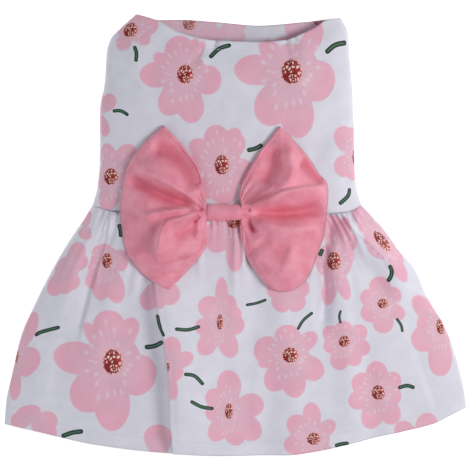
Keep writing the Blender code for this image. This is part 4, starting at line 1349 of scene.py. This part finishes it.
# %% bow_band
BAND_SIDES = 64
BAND_ROWS = 40
size = band_high - band_low
angle = np.linspace(0, 2 * math.pi, BAND_SIDES, endpoint=False)
along = np.linspace(-0.5, 0.5, BAND_ROWS + 1)
angle, along = np.meshgrid(angle, along)
roll = 1 - 0.14 * np.abs(2 * along) ** 10
pleats = 0.2 * MM * np.cos(2 * angle + 3 * along + 0.7) + 0.08 * MM * np.sin(5 * angle + 2.5 * along)
half_y = (size.y / 2 - 0.6 * MM) * roll + pleats
half_z = (size.z / 2 - 0.6 * MM) * roll + pleats
x = BAND_MIDDLE.x + along * size.x * (1 - 0.03 * np.cos(angle))
y = BAND_MIDDLE.y + half_y * np.cos(angle)
z = BAND_MIDDLE.z + half_z * np.sin(angle)
outside = np.stack([x, y, z], axis=-1)
inside_shrink = 0.72
inner_y = BAND_MIDDLE.y + (y - BAND_MIDDLE.y) * inside_shrink
inner_z = BAND_MIDDLE.z + (z - BAND_MIDDLE.z) * inside_shrink
inside = np.stack([x, inner_y, inner_z], axis=-1)
rings = np.concatenate([outside, inside[::-1]])
form = bmesh.new()
loops = [[form.verts.new(point) for point in line] for line in rings]
for line, following in zip(loops, loops[1:] + loops[:1]):
    for side in range(BAND_SIDES):
        turn = (side + 1) % BAND_SIDES
        form.faces.new((line[side], line[turn], following[turn], following[side]))
bmesh.ops.recalc_face_normals(form, faces=form.faces)
mesh = bpy.data.meshes.new("bow_band_satin")
form.to_mesh(mesh)
form.free()
mesh.shade_smooth()
corner = np.zeros(len(mesh.loops), np.int64)
mesh.loops.foreach_get("vertex_index", corner)
co = np.zeros(len(mesh.vertices) * 3, np.float32)
mesh.vertices.foreach_get("co", co)
store_uv(mesh, "cloth", co.reshape(-1, 3)[corner][:, :2] / MM)
mesh.materials.append(satin)
band = piece_from("bow_band_satin", mesh)
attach(band, "root")
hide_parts("bow_band")
print("bow_band_satin", len(mesh.polygons), "faces")

# %% [markdown]
# ## The stitches
#
# The hems of the neck and of the skirt and the edges of the bow are sewn with small straight stitches.
# A seam is drawn as a line on the cloth, and Geometry Nodes sets one stitch after another along it, so
# that their spacing, length and thickness can be changed in one place.

# %% One stitch after another along a line


def stitch_nodes():
    tree = bpy.data.node_groups.new("stitches", "GeometryNodeTree")
    sockets = (
        ("Line", "NodeSocketGeometry"), ("Spacing", "NodeSocketFloat"), ("Length", "NodeSocketFloat"),
        ("Thickness", "NodeSocketFloat"), ("Seed", "NodeSocketInt"), ("Thread", "NodeSocketMaterial"))
    for name, kind in sockets:
        tree.interface.new_socket(name, in_out="INPUT", socket_type=kind)
    tree.interface.new_socket("Stitches", in_out="OUTPUT", socket_type="NodeSocketGeometry")
    given = tree.nodes.new("NodeGroupInput").outputs
    curve = add(tree, "GeometryNodeMeshToCurve", {"Mesh": given["Line"]})
    spots = tree.nodes.new("GeometryNodeCurveToPoints")
    spots.mode = "LENGTH"
    tree.links.new(curve, spots.inputs["Curve"])
    tree.links.new(given["Spacing"], spots.inputs["Length"])
    form = add(tree, "GeometryNodeMeshUVSphere", {"Segments": 8, "Rings": 6, "Radius": 0.5})
    size = add(tree, "ShaderNodeCombineXYZ", {0: given["Length"], 1: given["Thickness"], 2: given["Thickness"]})
    stitch = add(tree, "GeometryNodeTransform", {"Geometry": form, "Scale": size})
    along = add(tree, "FunctionNodeAlignRotationToVector", {"Vector": spots.outputs["Tangent"]}, axis="X")
    ranges = {0: (0.85, 0.9, 0.9), 1: (1.1, 1.1, 1.1), "Seed": given["Seed"]}
    varied = add(tree, "FunctionNodeRandomValue", ranges, data_type="FLOAT_VECTOR")
    inputs = {"Points": spots.outputs["Points"], "Instance": stitch, "Rotation": along, "Scale": varied}
    placed = add(tree, "GeometryNodeInstanceOnPoints", inputs)
    real = add(tree, "GeometryNodeRealizeInstances", (placed,))
    smooth = add(tree, "GeometryNodeSetShadeSmooth", (real,))
    sewn = add(tree, "GeometryNodeSetMaterial", {"Geometry": smooth, "Material": given["Thread"]})
    tree.links.new(sewn, tree.nodes.new("NodeGroupOutput").inputs[0])
    return tree


STITCHES = stitch_nodes()


def sewn_seam(name, points, thread, spacing=2.9, length=2.1, thickness=0.32, seed=1):
    """A row of stitches along a line of places, all measures in millimetres."""
    line = bpy.data.meshes.new(name)
    line.from_pydata([tuple(map(float, p)) for p in points], [(i, i + 1) for i in range(len(points) - 1)], [])
    seam = piece_from(name, line)
    sewing = seam.modifiers.new("stitches", "NODES")
    sewing.node_group = STITCHES
    values = {"Spacing": spacing * MM, "Length": length * MM, "Thickness": thickness * MM, "Seed": seed,
              "Thread": thread}
    for socket in STITCHES.interface.items_tree:
        if socket.name in values:
            sewing[socket.identifier] = values[socket.name]
    made = bpy.data.meshes.new_from_object(seam.evaluated_get(bpy.context.evaluated_depsgraph_get()))
    seam.modifiers.clear()
    seam.data = made
    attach(seam, "root")
    print(name, len(made.polygons) // 48, "stitches")
    return seam


def on_cloth(across, top, bottom, sides, height, inset):
    """Places on a cloth at a distance from its top edge, or from its bottom edge if it is negative."""
    span = top(across) - bottom(across)
    down = inset / span if inset > 0 else 1 + inset / span
    x, y = plan_of(top, bottom, sides, across, down)
    return np.stack([x, y, height(across, down) + 0.05 * MM], axis=-1)


def plain_thread(name, tint):
    material, tree, shader = new_material(name)
    fibres = add(tree, "ShaderNodeTexNoise", {0: add(tree, "ShaderNodeTexCoord", out=3), 2: 2500.0})
    darker = tuple(0.86 * share for share in tint[:3]) + (1.0,)
    tree.links.new(blended(tree, fibres, darker, tint), shader.inputs["Base Color"])
    shader.inputs["Roughness"].default_value = 0.6
    return material


# %% [markdown]
# The neck hem is sewn six millimetres below the edge and the skirt hem nine above it. The bow's edges
# are sewn close to the rim, in pink.

# %% The seams
white_thread = plain_thread("white_thread", colour(222, 222, 234))
pink_thread = plain_thread("pink_thread", colour(226, 128, 150))
neck = on_cloth(np.linspace(-0.84, 0.84, 160), back_neck_y, waist_y, bodice_sides, bodice_height, 6 * MM)
sewn_seam("neck_stitches", neck, white_thread)
hem = on_cloth(np.linspace(-0.95, 0.95, 300), waist_y, hem_y, skirt_sides, skirt_height, -9 * MM)
sewn_seam("hem_stitches", hem, white_thread, seed=2)


def bow_seam(skin, from_end):
    """A line on a wing's upper skin, 2.9 mm in from its top edge or from its bottom edge."""
    skin = skin[:, ::-1] if from_end else skin
    places = []
    for column in skin[14:-8]:
        run = np.concatenate([[0], np.cumsum(np.hypot(*np.diff(column[:, :2], axis=0).T))])
        places.append([np.interp(2.9 * MM, run, column[:, axis]) for axis in range(3)])
    return np.array(places) + (0, 0, 0.05 * MM)


for number, (side, skin) in enumerate((("left", left_upper), ("right", right_upper))):
    for edge_name, from_end in (("top", False), ("bottom", True)):
        name = f"bow_{side}_{edge_name}_stitches"
        sewn_seam(name, bow_seam(skin, from_end), pink_thread, 2.4, 1.7, 0.3, 10 + number)

# %% [markdown]
# The dress is photographed from straight above on white. A long lens from high up keeps the edges
# true, one large soft light stands to the upper right, and white surroundings fill the shadows.

# %% Camera, light and floor
CAMERA_HEIGHT = 2.2
camera_data = bpy.data.cameras.new("overhead_camera")
camera_data.sensor_fit = "HORIZONTAL"
camera_data.angle = 2 * math.atan(470 * PIXEL / 2 / (CAMERA_HEIGHT - 0.012))
camera = bpy.data.objects.new("overhead_camera", camera_data)
middle_x, middle_y = plan(235.0, 235.0)
camera.location = (float(middle_x), float(middle_y), CAMERA_HEIGHT)
bpy.context.scene.collection.objects.link(camera)
bpy.context.scene.camera = camera


def soft_light(name, place, size, power, tint=(1, 1, 1)):
    """A square soft light that shines at the dress."""
    data = bpy.data.lights.new(name, "AREA")
    data.size = size
    data.energy = power
    data.color = tint
    light = bpy.data.objects.new(name, data)
    light.location = place
    light.rotation_euler = (-Vector(place)).to_track_quat("-Z", "Y").to_euler()
    bpy.context.scene.collection.objects.link(light)
    return light


soft_light("key_light", (0.66, 0.0, 0.85), 0.36, 5.6, (1.0, 0.99, 0.97))
soft_light("fill_light", (-0.92, -0.62, 0.60), 0.8, 3.0, (0.98, 0.99, 1.0))
world = bpy.data.worlds.new("white_room")
world.use_nodes = True
world.node_tree.nodes["Background"].inputs[0].default_value = (0.93, 0.95, 1.0, 1.0)
world.node_tree.nodes["Background"].inputs[1].default_value = 0.32
bpy.context.scene.world = world

mesh = bpy.data.meshes.new("floor")
mesh.from_pydata([(-3, -3, -0.0005), (3, -3, -0.0005), (3, 3, -0.0005), (-3, 3, -0.0005)], [], [(0, 1, 2, 3)])
floor_material, tree, shader = new_material("white_floor")
speck = add(tree, "ShaderNodeTexNoise", {2: 40.0, 3: 2.0})
tree.links.new(blended(tree, speck, (0.93, 0.93, 0.93, 1), (0.97, 0.97, 0.97, 1)), shader.inputs["Base Color"])
shader.inputs["Roughness"].default_value = 0.9
shader.inputs["Emission Color"].default_value = (1, 1, 1, 1)
shader.inputs["Emission Strength"].default_value = 0.6
mesh.materials.append(floor_material)
floor = piece_from("floor", mesh)
bpy.context.scene.view_settings.view_transform = "Standard"
print("camera", tuple(round(v, 3) for v in camera.location))
